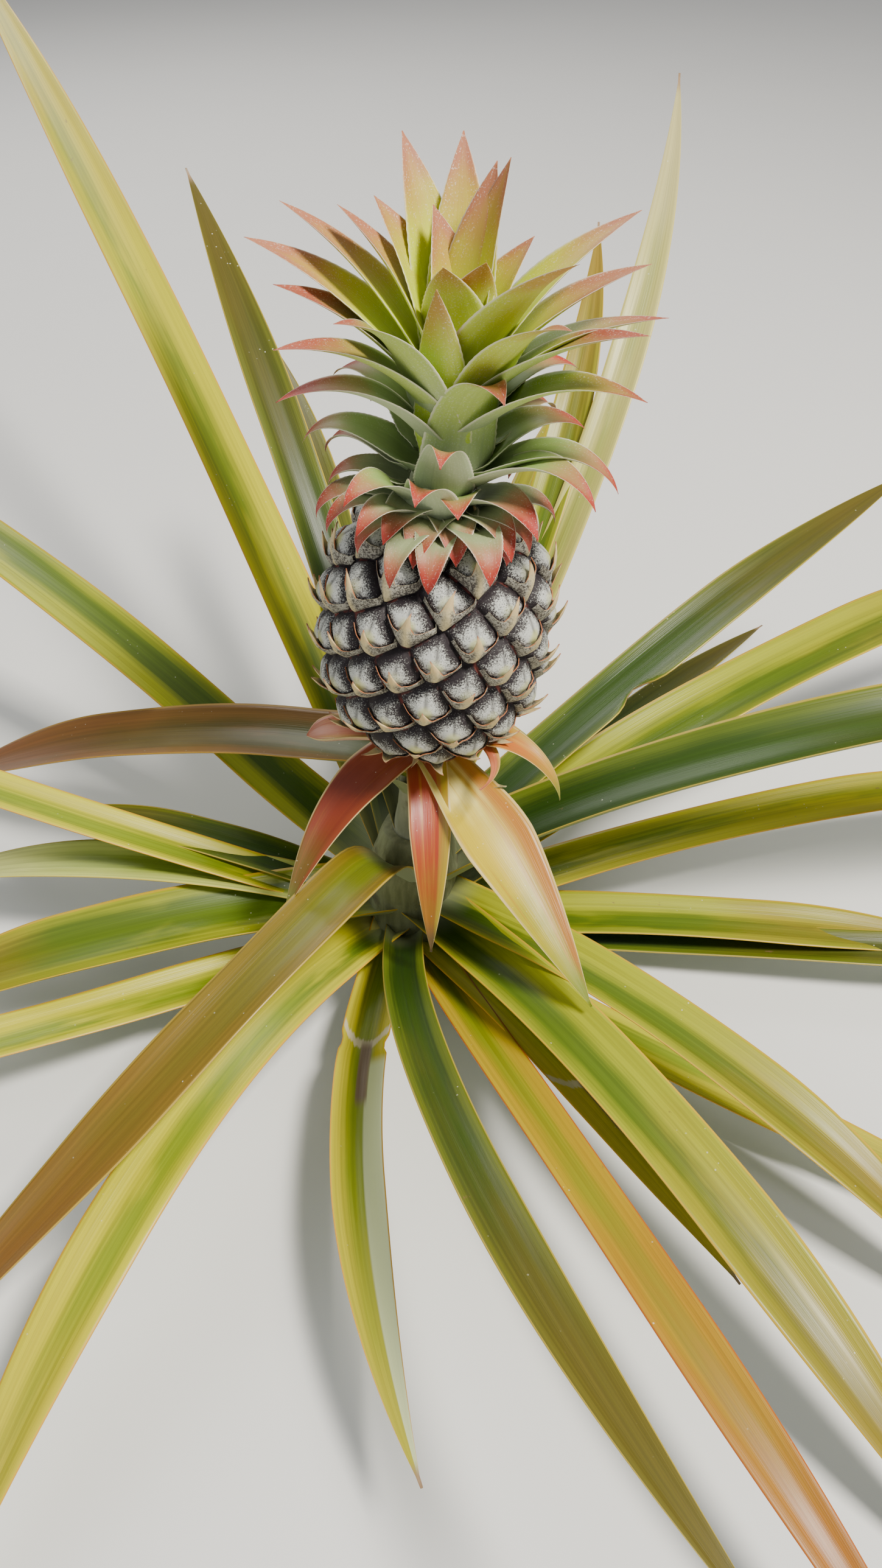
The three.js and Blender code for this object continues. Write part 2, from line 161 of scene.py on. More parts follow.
class Nodes:
    """The node tree of one material, with one method that makes any node."""

    def __init__(self, name: str) -> None:
        """Starts an empty material.

        Args:
            name: the material's name.
        """
        self.material = bpy.data.materials.new(name)
        self.material.use_nodes = True
        self.tree = self.material.node_tree
        self.tree.nodes.clear()

    def make(self, kind: str, settings: dict, inputs: dict, output: int | str = 0) -> Value:
        """Adds a node.

        Args:
            kind: the node's type.
            settings: its properties, set first.
            inputs: values or links of its sockets, by name or number.
            output: the output that is wanted.

        Returns:
            That output as a value.
        """
        node = self.tree.nodes.new(kind)
        for key, setting in settings.items():
            setattr(node, key, setting)
        for key, given in inputs.items():
            socket = node.inputs[key]
            if isinstance(given, Value):
                self.tree.links.new(given.socket, socket)
            else:
                socket.default_value = given
        return Value(self, node.outputs[output])

    def number(self, value: float) -> Value:
        """A constant, for a number on the left of an operator."""
        return self.make("ShaderNodeMath", {"operation": "ADD"}, {0: value, 1: 0.0})

    def attribute(self, name: str) -> Value:
        """A number that the mesh holds at its points."""
        return self.make("ShaderNodeAttribute", {"attribute_name": name}, {}, "Fac")

    def blade_place(self) -> tuple[Value, Value, Value]:
        """The place on a blade, from the piece's own UV map.

        Returns:
            The share across it, the share along it and the share from its middle to its edge.
        """
        place = self.make("ShaderNodeUVMap", {"uv_map": BLADE_MAP}, {})
        across = self.make("ShaderNodeSeparateXYZ", {}, {0: place}, 0)
        along = self.make("ShaderNodeSeparateXYZ", {}, {0: place}, 1)
        return across, along, abs(across - 0.5) * 2.0

    def object_place(self) -> Value:
        """Object coordinates."""
        return self.make("ShaderNodeTexCoord", {}, {}, "Object")

    def vector(self, x: Value | float, y: Value | float, z: Value | float) -> Value:
        """A vector of three values."""
        return self.make("ShaderNodeCombineXYZ", {}, {0: x, 1: y, 2: z})

    def noise(self, place: Value, scale: float, detail: float = 3.0, rough: float = 0.55) -> Value:
        """Cloudy noise between 0 and 1."""
        inputs = {"Vector": place, "Scale": scale, "Detail": detail, "Roughness": rough}
        return self.make("ShaderNodeTexNoise", {}, inputs, 0)

    def streaks(self, x: Value, y: Value, z: Value | float, detail: float) -> Value:
        """Noise drawn out along a blade, by its place across and along it and a seed."""
        return self.noise(self.vector(x, y, z), 1.0, detail)

    def cells(self, place: Value, scale: float) -> Value:
        """The distance to the nearest of scattered points."""
        return self.make("ShaderNodeTexVoronoi", {}, {"Vector": place, "Scale": scale}, "Distance")

    def mix(self, share: Value | float, a: "Value | Colour", b: "Value | Colour") -> Value:
        """Turns one colour to another.

        Args:
            share: how much of the second shows.
            a: the first colour.
            b: the second colour.

        Returns:
            The mixed colour.
        """
        inputs = {"Factor": share}
        for key, colour in ((6, a), (7, b)):
            inputs[key] = colour if isinstance(colour, Value) else (*colour, 1.0)
        settings = {"data_type": "RGBA", "clamp_factor": True}
        return self.make("ShaderNodeMix", settings, inputs, 2)

    def shade(self, colour: Value, by: Value) -> Value:
        """Makes a colour lighter or darker.

        Args:
            colour: the colour.
            by: what multiplies it, round 1.

        Returns:
            The new colour.
        """
        inputs = {"Factor": 1.0, 6: colour, 7: self.vector(by, by, by)}
        settings = {"data_type": "RGBA", "blend_type": "MULTIPLY"}
        return self.make("ShaderNodeMix", settings, inputs, 2)

    def bump(self, height: Value, strength: float, distance: float) -> Value:
        """A normal that follows a height."""
        inputs = {"Height": height, "Strength": strength, "Distance": distance}
        return self.make("ShaderNodeBump", {}, inputs, "Normal")

    def finish(self, **sockets: Value | float | Sequence[float]) -> bpy.types.Material:
        """Ends the material in one Principled shader.

        Args:
            sockets: the shader's inputs, with underscores for spaces.

        Returns:
            The material.
        """
        inputs = {key.replace("_", " "): value for key, value in sockets.items()}
        shader = self.make("ShaderNodeBsdfPrincipled", {}, inputs)
        self.make_output(shader)
        return self.material

    def make_output(self, shader: Value) -> None:
        """Links a shader to the material's output."""
        node = self.tree.nodes.new("ShaderNodeOutputMaterial")
        self.tree.links.new(shader.socket, node.inputs["Surface"])


# Finishes


@dataclass(frozen=True)
class StrapFinish:
    """The skin of a long leaf: a dark channel that is partly painted shade, gold sides and a thin coloured
    rim.
    """

    name: str
    base: Colour
    middle: Colour
    margin: Colour
    rim: Colour
    tip: Colour
    tip_from: float = 0.6
    # The dark middle band is partly the leaf's own green and partly painted shade of the channel; its lean
    # sets it off to one side as painted shade on one half.
    band: float = 0.42
    painted_shade_lean: float = 0.0
    bleach: float = 0.35
    under: Colour = (0.24, 0.31, 0.13)
    sheath: Colour = (0.52, 0.56, 0.34)
    pale_half: float = 0.0
    scar_at: float = -1.0
    seed: float = 0.0

    def scarred(self, n: Nodes, colour: Value, across: Value, along: Value,
                strands: Value) -> Value:
        """Adds the dry patch of a damaged leaf and, where it is folded, its pale half.

        Args:
            n: the material's nodes.
            colour: the colour so far.
            across: the place across the blade.
            along: the place along it.
            strands: its lengthwise streaks.

        Returns:
            The colour with the damage.
        """
        if self.pale_half:
            beyond = along.step(self.scar_at + 0.02, self.scar_at + 0.05)
            half = (across + strands.swing(0.02)).step(self.pale_half, self.pale_half + 0.05)
            colour = n.mix(beyond * half, colour, (0.66, 0.72, 0.40))
        torn = abs(along - self.scar_at + (across - 0.5) ** 2.0 * 0.16 + strands.swing(0.02))
        colour = n.mix(torn.step(0.012, 0.005), colour, (0.66, 0.58, 0.36))
        strip = abs(across - 0.56 + strands.swing(0.06)).step(0.13, 0.08)
        past = along - self.scar_at
        dry = strip * past.step(-0.02, 0.01) * past.step(0.13, 0.10)
        return n.mix(dry, colour, n.mix(strands, (0.10, 0.05, 0.025), (0.34, 0.24, 0.15)))

    def make(self) -> bpy.types.Material:
        """Builds the material.

        Returns:
            The material.
        """
        n = Nodes(self.name)
        across, along, from_middle = n.blade_place()
        place = n.object_place()
        own = n.attribute("own") * 30.0 + self.seed
        drift = n.noise(place, 8.0, 2.0)
        strands = n.streaks(across * 20.0, along * 2.0, own, 4.0)
        fine = n.streaks(across * 80.0, along * 4.0, own + 4.0, 2.0)
        patches = n.streaks(across * 2.5, along * 6.0, own + 9.0, 3.0)
        # Dark middle band, leaning to one side: partly the leaf's own colour, partly painted shade in the
        # channel and on one half.
        from_shaded_band = abs(across - 0.5 - self.painted_shade_lean) * 2.0
        wander = drift.swing(0.5) + strands.swing(0.35) + patches.swing(0.4)
        colour = n.mix(along.step(0.02, 0.40), self.base, self.middle)
        at_margin = (from_shaded_band + wander).step(self.band - 0.2, self.band + 0.34)
        colour = n.mix(at_margin, colour, self.margin)
        colour = n.mix(patches.step(0.55, 0.72) * self.bleach, colour, self.margin)
        tint = (along + drift.swing(0.5) + patches.swing(0.4)).step(self.tip_from - 0.15, 1.0)
        colour = n.mix(tint * 0.9, colour, self.tip)
        colour = n.shade(colour, strands.step(0.3, 0.7) * 0.24 + fine * 0.16 + 0.80)
        under = n.attribute("underside")
        powder = n.mix(strands * 0.6 + fine * 0.4, tuple(c * 0.62 for c in self.under), self.under)
        colour = n.mix(under * 0.85, colour, powder)
        colour = n.mix(along.step(0.13, 0.02) * 0.9, colour, self.sheath)
        specks = n.cells(place, 260.0).step(0.13, 0.07) * n.noise(place, 50.0).step(0.58, 0.66)
        colour = n.mix(specks * 0.55, colour, (0.80, 0.80, 0.62))
        spots = n.streaks(across * 5.0, along * 40.0, own + 2.0, 5.0)
        colour = n.mix(spots.step(0.72, 0.77) * 0.7, colour, (0.17, 0.10, 0.04))
        if self.scar_at > 0.0:
            colour = self.scarred(n, colour, across, along, strands)
        edge = (from_middle + fine.swing(0.02)).step(0.93, 0.965)
        colour = n.mix(edge * 0.9, colour, self.rim)
        colour = n.mix(n.attribute("torn").step(0.15, 0.6), colour, (0.30, 0.17, 0.08))
        colour = n.mix((along + fine.swing(0.02)).step(0.965, 0.99), colour, (0.34, 0.22, 0.12))
        return n.finish(
            Base_Color=colour,
            Roughness=0.30 + 0.16 * drift + 0.16 * under,
            Specular_IOR_Level=0.36,
            Coat_Weight=0.07,
            Coat_Roughness=0.2,
            Normal=n.bump(strands * 0.6 + fine * 0.4, 0.35, 0.0007),
        )


@dataclass(frozen=True)
class CrownFinish:
    """A crown leaf's skin, from its bloomed foot to a coloured tip, with painted sparkle on its outer part
    and edges.
    """

    name: str
    foot: Colour
    middle: Colour
    outer: Colour
    tip: Colour
    tip_from: float = 0.55
    under_foot: Colour = (0.36, 0.42, 0.27)
    under_middle: Colour = (0.46, 0.54, 0.28)
    # how strong the painted sparkle is
    painted_sparkle: float = 0.4
    rim: Colour = (0.80, 0.75, 0.58)
    seed: float = 0.0

    def make(self) -> bpy.types.Material:
        """Builds the material.

        Returns:
            The material.
        """
        n = Nodes(self.name)
        across, along, from_middle = n.blade_place()
        place = n.object_place()
        cloud = n.noise(place, 45.0, 2.0)
        own = n.attribute("own")
        strands = n.streaks(across * 16.0, along * 1.4, own * 30.0 + self.seed, 3.0)
        fine = n.streaks(across * 60.0, along * 4.0, own * 20.0 + self.seed, 2.0)
        grain = n.noise(place, 1400.0, 2.0)
        here = along + cloud.swing(0.26) + strands.swing(0.14) + own.swing(0.16)
        colour = n.mix(here.step(0.08, 0.40), self.foot, self.middle)
        colour = n.mix(here.step(self.tip_from - 0.3, self.tip_from + 0.05), colour, self.outer)
        bloomed = n.mix(here.step(0.05, 0.5), self.under_foot, self.under_middle)
        powder = n.mix(grain.step(0.5, 0.7) * 0.25, bloomed, (0.58, 0.62, 0.50))
        under = n.attribute("underside")
        powdered = under * here.step(self.tip_from + 0.25, self.tip_from - 0.05)
        colour = n.mix(powdered, colour, powder)
        blushed = (here + from_middle * 0.12).step(self.tip_from, 0.97) * (1.0 - under * 0.65)
        colour = n.mix(blushed, colour, self.tip)
        colour = n.shade(colour, strands * 0.24 + fine * 0.18 + 0.80)
        # Painted sparkle: pale flecks stand for glints of light, more towards the tip and on the edges.
        pale_flecks = grain.step(0.55, 0.72) * (strands.step(0.4, 0.6) * 0.6 + from_middle * 0.5)
        colour = n.mix(pale_flecks * self.painted_sparkle * along, colour, (0.86, 0.82, 0.74))
        colour = n.mix(from_middle.step(0.92, 0.985) * 0.7, colour, self.rim)
        return n.finish(
            Base_Color=colour,
            Roughness=0.42 + 0.2 * cloud,
            Specular_IOR_Level=0.45,
            Normal=n.bump(strands * 0.5 + fine * 0.4 + grain * 0.15, 0.4, 0.0005),
        )


@dataclass(frozen=True)
class BractFinish:
    """The skin of a coloured bract: blushed, streaked along, with one flank of its own colour."""

    name: str
    foot: Colour
    middle: Colour
    end: Colour
    streak: Colour
    flank: Colour
    tip: Colour
    under: Colour
    flank_at: float = 0.75
    rim: Colour = (0.74, 0.58, 0.24)
    seed: float = 0.0

    def make(self) -> bpy.types.Material:
        """Builds the material.

        Returns:
            The material.
        """
        n = Nodes(self.name)
        across, along, from_middle = n.blade_place()
        place = n.object_place()
        cloud = n.noise(place, 34.0, 3.0)
        own = n.attribute("own") * 30.0 + self.seed
        strands = n.streaks(across * 11.0, along * 1.2, own, 4.0)
        fine = n.streaks(across * 60.0, along * 4.0, own + 5.0, 2.0)
        here = along + cloud.swing(0.4) + strands.swing(0.25)
        colour = n.mix(here.step(0.05, 0.35), self.foot, self.middle)
        colour = n.mix(here.step(0.45, 0.8), colour, self.end)
        beside = (across + strands.swing(0.3)).step(self.flank_at - 0.12, self.flank_at + 0.12)
        colour = n.mix(beside * 0.9, colour, self.flank)
        colour = n.mix(strands.step(0.5, 0.68) * 0.7, colour, self.streak)
        colour = n.mix((along + strands.swing(0.12)).step(0.82, 0.95), colour, self.tip)
        colour = n.mix(n.attribute("underside") * 0.85, colour, self.under)
        colour = n.shade(colour, fine * 0.26 + 0.85)
        colour = n.mix(from_middle.step(0.91, 0.97) * 0.8, colour, self.rim)
        specks = n.cells(place, 300.0).step(0.12, 0.06) * cloud.step(0.5, 0.6)
        colour = n.mix(specks * 0.5, colour, (0.85, 0.78, 0.60))
        return n.finish(
            Base_Color=colour,
            Roughness=0.32 + 0.2 * cloud,
            Specular_IOR_Level=0.5,
            Coat_Weight=0.08,
            Coat_Roughness=0.25,
            Normal=n.bump(strands * 0.5 + fine * 0.5, 0.4, 0.0006),
        )


@dataclass(frozen=True)
class EyeFinish:
    """The fruit's skin: plum domes powdered with grey, and dark grooves between them."""

    name: str = "eye_skin"
    groove: Colour = (0.014, 0.006, 0.008)
    plum: Colour = (0.016, 0.010, 0.013)
    pale_flecks: Colour = (0.56, 0.57, 0.53)
    olive: Colour = (0.50, 0.52, 0.16)

    def make(self) -> bpy.types.Material:
        """Builds the material.

        Returns:
            The material.
        """
        n = Nodes(self.name)
        place = n.object_place()
        rim = n.attribute("from_groove")
        nose = n.attribute("nose")
        tone = n.attribute("tone")
        cloud = n.noise(place, 110.0, 3.0)
        grain = n.noise(place, 1500.0, 3.0, 0.7)
        cover = rim.step(0.06, 0.85) * 0.68 + cloud.swing(0.9) + tone.swing(0.24) + nose * 0.14
        frosted = (grain.swing(2.4) + cover).step(0.16, 0.80)
        colour = n.mix(frosted, self.plum, self.pale_flecks)
        warm = (nose + cloud.swing(0.9)).step(0.35, 0.85)
        colour = n.mix(warm * (tone * 0.55 + 0.25), colour, self.olive)
        colour = n.mix(n.attribute("crease") * 0.7, colour, self.plum)
        colour = n.mix(rim.step(0.11, 0.03), colour, self.groove)
        rusty = rim.step(0.13, 0.05) * cloud.step(0.5, 0.62) * 0.7
        colour = n.mix(rusty, colour, (0.24, 0.05, 0.035))
        return n.finish(
            Base_Color=colour,
            Roughness=0.55 + 0.25 * grain,
            Specular_IOR_Level=0.4,
            Normal=n.bump(grain * 0.5 + cloud * 0.4, 0.4, 0.0007),
        )


@dataclass(frozen=True)
class ScaleFinish:
    """The papery scale under each eye: speckled grey, a cream keel and spine, a red-brown lip."""

    name: str = "scale_skin"
    low: Colour = (0.42, 0.40, 0.33)
    cream: Colour = (0.66, 0.55, 0.30)
    lip: Colour = (0.44, 0.12, 0.04)
    spine: Colour = (0.70, 0.52, 0.26)

    def make(self) -> bpy.types.Material:
        """Builds the material.

        Returns:
            The material.
        """
        n = Nodes(self.name)
        across, along, from_middle = n.blade_place()
        place = n.object_place()
        cloud = n.noise(place, 150.0, 3.0)
        grain = n.noise(place, 1100.0, 4.0, 0.75)
        veins = n.streaks(across * 26.0, along * 2.5, 0.0, 3.0)
        keel = (from_middle + cloud.swing(0.3)).step(0.30, 0.05)
        cream = (keel * 0.9 + along.step(0.75, 0.95) * 0.8 + cloud.swing(0.4)).clamped()
        colour = n.mix(cream, self.low, self.cream)
        speckled = (grain + cloud.swing(0.3)).step(0.46, 0.56) * (1.0 - cream * 0.8)
        colour = n.mix(speckled * 0.9, colour, (0.035, 0.024, 0.022))
        colour = n.shade(colour, veins * 0.36 + 0.80)
        at_lip = along.step(0.90, 0.95) * from_middle.step(0.10, 0.22) * 0.9
        colour = n.mix(at_lip, colour, self.lip)
        colour = n.mix(n.attribute("spine").step(0.15, 0.5), colour, self.spine)
        colour = n.mix(n.attribute("spine").step(0.7, 0.98), colour, (0.36, 0.14, 0.07))
        return n.finish(
            Base_Color=colour,
            Roughness=0.60 + 0.2 * grain,
            Specular_IOR_Level=0.35,
            Normal=n.bump(veins * 0.5 + grain * 0.4, 0.4, 0.0005),
        )


@dataclass(frozen=True)
class StalkFinish:
    """A stem's or stalk's skin: pale green-grey or brown, with dark stains."""

    name: str
    light: Colour
    dark: Colour
    stain: Colour = (0.10, 0.08, 0.05)

    def make(self) -> bpy.types.Material:
        """Builds the material.

        Returns:
            The material.
        """
        n = Nodes(self.name)
        place = n.object_place()
        stretched = n.make("ShaderNodeMapping", {}, {0: place, "Scale": (1.0, 1.0, 0.18)})
        strands = n.noise(stretched, 160.0, 4.0)
        cloud = n.noise(place, 42.0, 4.0)
        grain = n.noise(place, 900.0, 2.0)
        colour = n.mix(strands.step(0.3, 0.7), self.dark, self.light)
        colour = n.mix(cloud.step(0.56, 0.7) * 0.8, colour, self.stain)
        colour = n.mix(grain.step(0.6, 0.7) * 0.3, colour, self.dark)
        return n.finish(
            Base_Color=colour,
            Roughness=0.66 + 0.2 * cloud,
            Specular_IOR_Level=0.35,
            Normal=n.bump(strands * 0.7 + grain * 0.3, 0.6, 0.0012),
        )


@dataclass(frozen=True)
class FloorFinish:
    """A plain pale studio floor."""

    name: str = "studio_floor"
    light: Colour = (0.80, 0.79, 0.77)

    def make(self) -> bpy.types.Material:
        """Builds the material.

        Returns:
            The material.
        """
        n = Nodes(self.name)
        cloud = n.noise(n.object_place(), 6.0)
        colour = n.mix(cloud, self.light, tuple(c * 0.97 for c in self.light))
        return n.finish(Base_Color=colour, Roughness=0.85, Specular_IOR_Level=0.2)


# Pieces


def to_piece(bm: bmesh.types.BMesh, name: str, materials: Iterable[bpy.types.Material]) -> bpy.types.Object:
    """Turns a finished bmesh into a smooth-shaded piece that rides on the plant.

    Args:
        bm: the mesh, in millimetres, freed here.
        name: the piece's name.
        materials: its materials in the order of their numbers.

    Returns:
        The piece.
    """
    bmesh.ops.scale(bm, vec=(MM, MM, MM), verts=bm.verts[:])
    for face in bm.faces:
        face.smooth = True
    mesh = bpy.data.meshes.new(name)
    bm.to_mesh(mesh)
    bm.free()
    for material in materials:
        mesh.materials.append(material)
    piece = bpy.data.objects.new(name, mesh)
    bpy.context.scene.collection.objects.link(piece)
    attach(piece, ROOT)
    LOG.info("%s: %d faces", name, len(mesh.polygons))
    return piece


def add_strap(bm: bmesh.types.BMesh, across: int, along: int) -> list[bmesh.types.BMVert]:
    """Adds a flat closed strap of two skins, one unit wide, long and thick, with its UV map.

    Args:
        bm: the mesh that it joins, which has the map already.
        across: the number of stretches across it.
        along: the number of stretches along it.

    Returns:
        Its points, with the underside at height 0 and the upper side at 1.
    """
    uv = bm.loops.layers.uv[BLADE_MAP]
    before = len(bm.verts)
    made = bmesh.ops.create_grid(bm, x_segments=across, y_segments=along, size=0.5)
    faces = {face for vert in made["verts"] for face in vert.link_faces}
    grown = bmesh.ops.extrude_face_region(bm, geom=list(faces))
    upper = [item for item in grown["geom"] if isinstance(item, bmesh.types.BMVert)]
    bmesh.ops.translate(bm, verts=upper, vec=(0.0, 0.0, 1.0))
    verts = bm.verts[before:]
    faces = {face for vert in verts for face in vert.link_faces}
    bmesh.ops.recalc_face_normals(bm, faces=list(faces))
    for face in faces:
        for loop in face.loops:
            loop[uv].uv = (loop.vert.co.x + 0.5, loop.vert.co.y + 0.5)
    return verts


@dataclass
class Blade:
    """A leaf or bract: a channelled strap bent along a middle line that follows a rule.

    Lengths are millimetres, turns degrees and arcs radians. Places along it are shares of its
    length.
    """

    name: str
    azimuth: float
    foot: float
    rise: float
    tip: float
    bend: float
    length: float
    width: float
    sweep: float = 0.0
    start_out: float = 0.0
    foot_share: float = 0.95
    full_at: float = 0.22
    taper_from: float = 0.6
    taper_power: float = 1.8
    tip_width: float = 1.2
    thickness: float = 2.4
    edge: float = 0.7
    foot_arc: float = 1.3
    arc: float = 0.62
    tip_arc: float = 0.5
    vee: float = 0.0
    vee_from: float = 0.0
    roll: float = 0.0
    wave: float = 0.6
    waves: float = 3.0
    pleat: float = 0.2
    pleats: float = 3.0
    teeth: float = 0.0
    bites: tuple[tuple[float, float, float, int], ...] = ()
    ragged: float = 0.25
    ragged_rate: float = 900.0
    across: int = 14
    along: int = 70
    seed: float = 0.0
    low_foot: tuple[float, float, float] | None = None
    knee: float = 0.1
    knee_rounds: int = 6
    upright: bool = False

    def width_at(self, s: float) -> float:
        """The blade's width a share s of the way along it.

        Args:
            s: the share, from 0 at the foot to 1 at the tip.

        Returns:
            The width in millimetres.
        """
        open_share = lerp(self.foot_share, 1.0, ease(s, 0.0, self.full_at))
        past = max(0.0, (s - self.taper_from) / (1.0 - self.taper_from))
        return max(self.tip_width, self.width * open_share * (1.0 - past**self.taper_power))

    def middle_line(self, steps: int) -> list[Vector]:
        """Points of the middle line, from the foot to the tip.

        Args:
            steps: the number of stretches.

        Returns:
            One more point than stretches, in millimetres.
        """
        start = around(self.start_out, math.radians(self.azimuth), self.foot)
        if not self.upright:
            start.x += self.foot * math.tan(LEAN)
        points = [start]
        for i in range(steps):
            s = (i + 0.5) / steps
            heading = math.radians(self.azimuth + self.sweep * s)
            climb = math.radians(self.rise + (self.tip - self.rise) * s**self.bend)
            step = around(math.cos(climb), heading, math.sin(climb))
            points.append(points[-1] + step * self.length / steps)
        if self.low_foot:
            self.drop_foot(points)
        return points

    def drop_foot(self, points: list[Vector]) -> None:
        """Runs the line straight up from a lower foot to its knee, and rounds the knee off.

        Args:
            points: the middle line, changed in place.
        """
        knee = round(self.knee * (len(points) - 1))
        foot = Vector(self.low_foot)
        for i in range(knee):
            points[i] = foot.lerp(points[knee], i / knee)
        for _ in range(self.knee_rounds):
            for i in range(1, 2 * knee):
                points[i] = (points[i - 1] + points[i] * 2.0 + points[i + 1]) / 4.0

    def build(self) -> bmesh.types.BMesh:
        """Bends a flat grid with a second skin over it to the blade's shape.

        Returns:
            The closed mesh, with a UV map, a number of its own at every point, and its
            underside and torn edges marked.
        """
        bm = bmesh.new()
        bm.loops.layers.uv.new(BLADE_MAP)
        for key in ("underside", "torn", "own"):
            bm.verts.layers.float.new(key)
        under, torn, own = bm.verts.layers.float.values()
        line = self.middle_line(self.along)
        for vert in add_strap(bm, self.across, self.along):
            u, s, level = vert.co.x * 2.0, vert.co.y + 0.5, vert.co.z
            vert[under] = 1.0 - level
            vert[own] = self.seed / SEEDS
            vert[torn] = self.bite_at(u, s) * ease(abs(u), 0.75, 1.0)
            vert.co = self.place(line, u, s, level)
        if self.upright:
            bmesh.ops.transform(bm, matrix=UPRIGHT, verts=bm.verts[:])
        return bm

    def bite_at(self, u: float, s: float) -> float:
        """How deeply the blade's edge is torn at a point.

        Args:
            u: the place across, from -1 at one edge to 1 at the other.
            s: the share of the way along.

        Returns:
            The depth as a share of its half width.
        """
        depth = 0.0
        for middle, half, deep, side in self.bites:
            if u * side > 0.0:
                ragged = 1.0 + self.ragged * math.sin(s * self.ragged_rate)
                depth = max(depth, deep * bump_at(s, middle, half) * ragged)
        return depth

    def place(self, line: list[Vector], u: float, s: float, level: float) -> Vector:
        """The place of one point of the blade.

        Args:
            line: the middle line.
            u: the place across, from -1 at one edge to 1 at the other.
            s: the share of the way along.
            level: 0 for the underside and 1 for the upper.

        Returns:
            The point in millimetres.
        """
        index = round(s * self.along)
        tangent = (line[min(self.along, index + 1)] - line[max(0, index - 1)]).normalized()
        heading = math.radians(self.azimuth + self.sweep * s)
        roll = Matrix.Rotation(math.radians(self.roll) * ease(s, 0.05, 0.9), 3, tangent)
        side = roll @ Vector((-math.sin(heading), math.cos(heading), 0.0))
        normal = tangent.cross(side).normalized()
        wide = self.width_at(s)
        arc = lerp(self.foot_arc, self.arc, ease(s, 0.0, 0.2))
        arc = lerp(arc, self.tip_arc, ease(s, 0.6, 1.0))
        held = u * (1.0 - self.bite_at(u, s) * abs(u))
        radius = wide / (2.0 * math.sin(arc))
        reach = radius * math.sin(arc * held)
        lift = radius * (1.0 - math.cos(arc * held))
        folded = self.vee * ease(s, self.vee_from - 0.04, self.vee_from + 0.04)
        lift += folded * abs(held) * wide / 2.0
        grown = min(1.0, wide / self.width)
        lift += self.wave * math.sin(self.waves * math.tau * s + self.seed + u) * u * u * grown
        lift += self.pleat * math.cos(math.pi * self.pleats * u) * grown
        if self.teeth and abs(u) > 0.999:
            reach += math.copysign(self.teeth * (index % 2) * grown, u)
        thick = lerp(self.edge, self.thickness, math.sqrt(max(0.0, 1.0 - u * u))) * grown
        return line[index] + side * reach + normal * (lift + (level - 0.5) * thick)


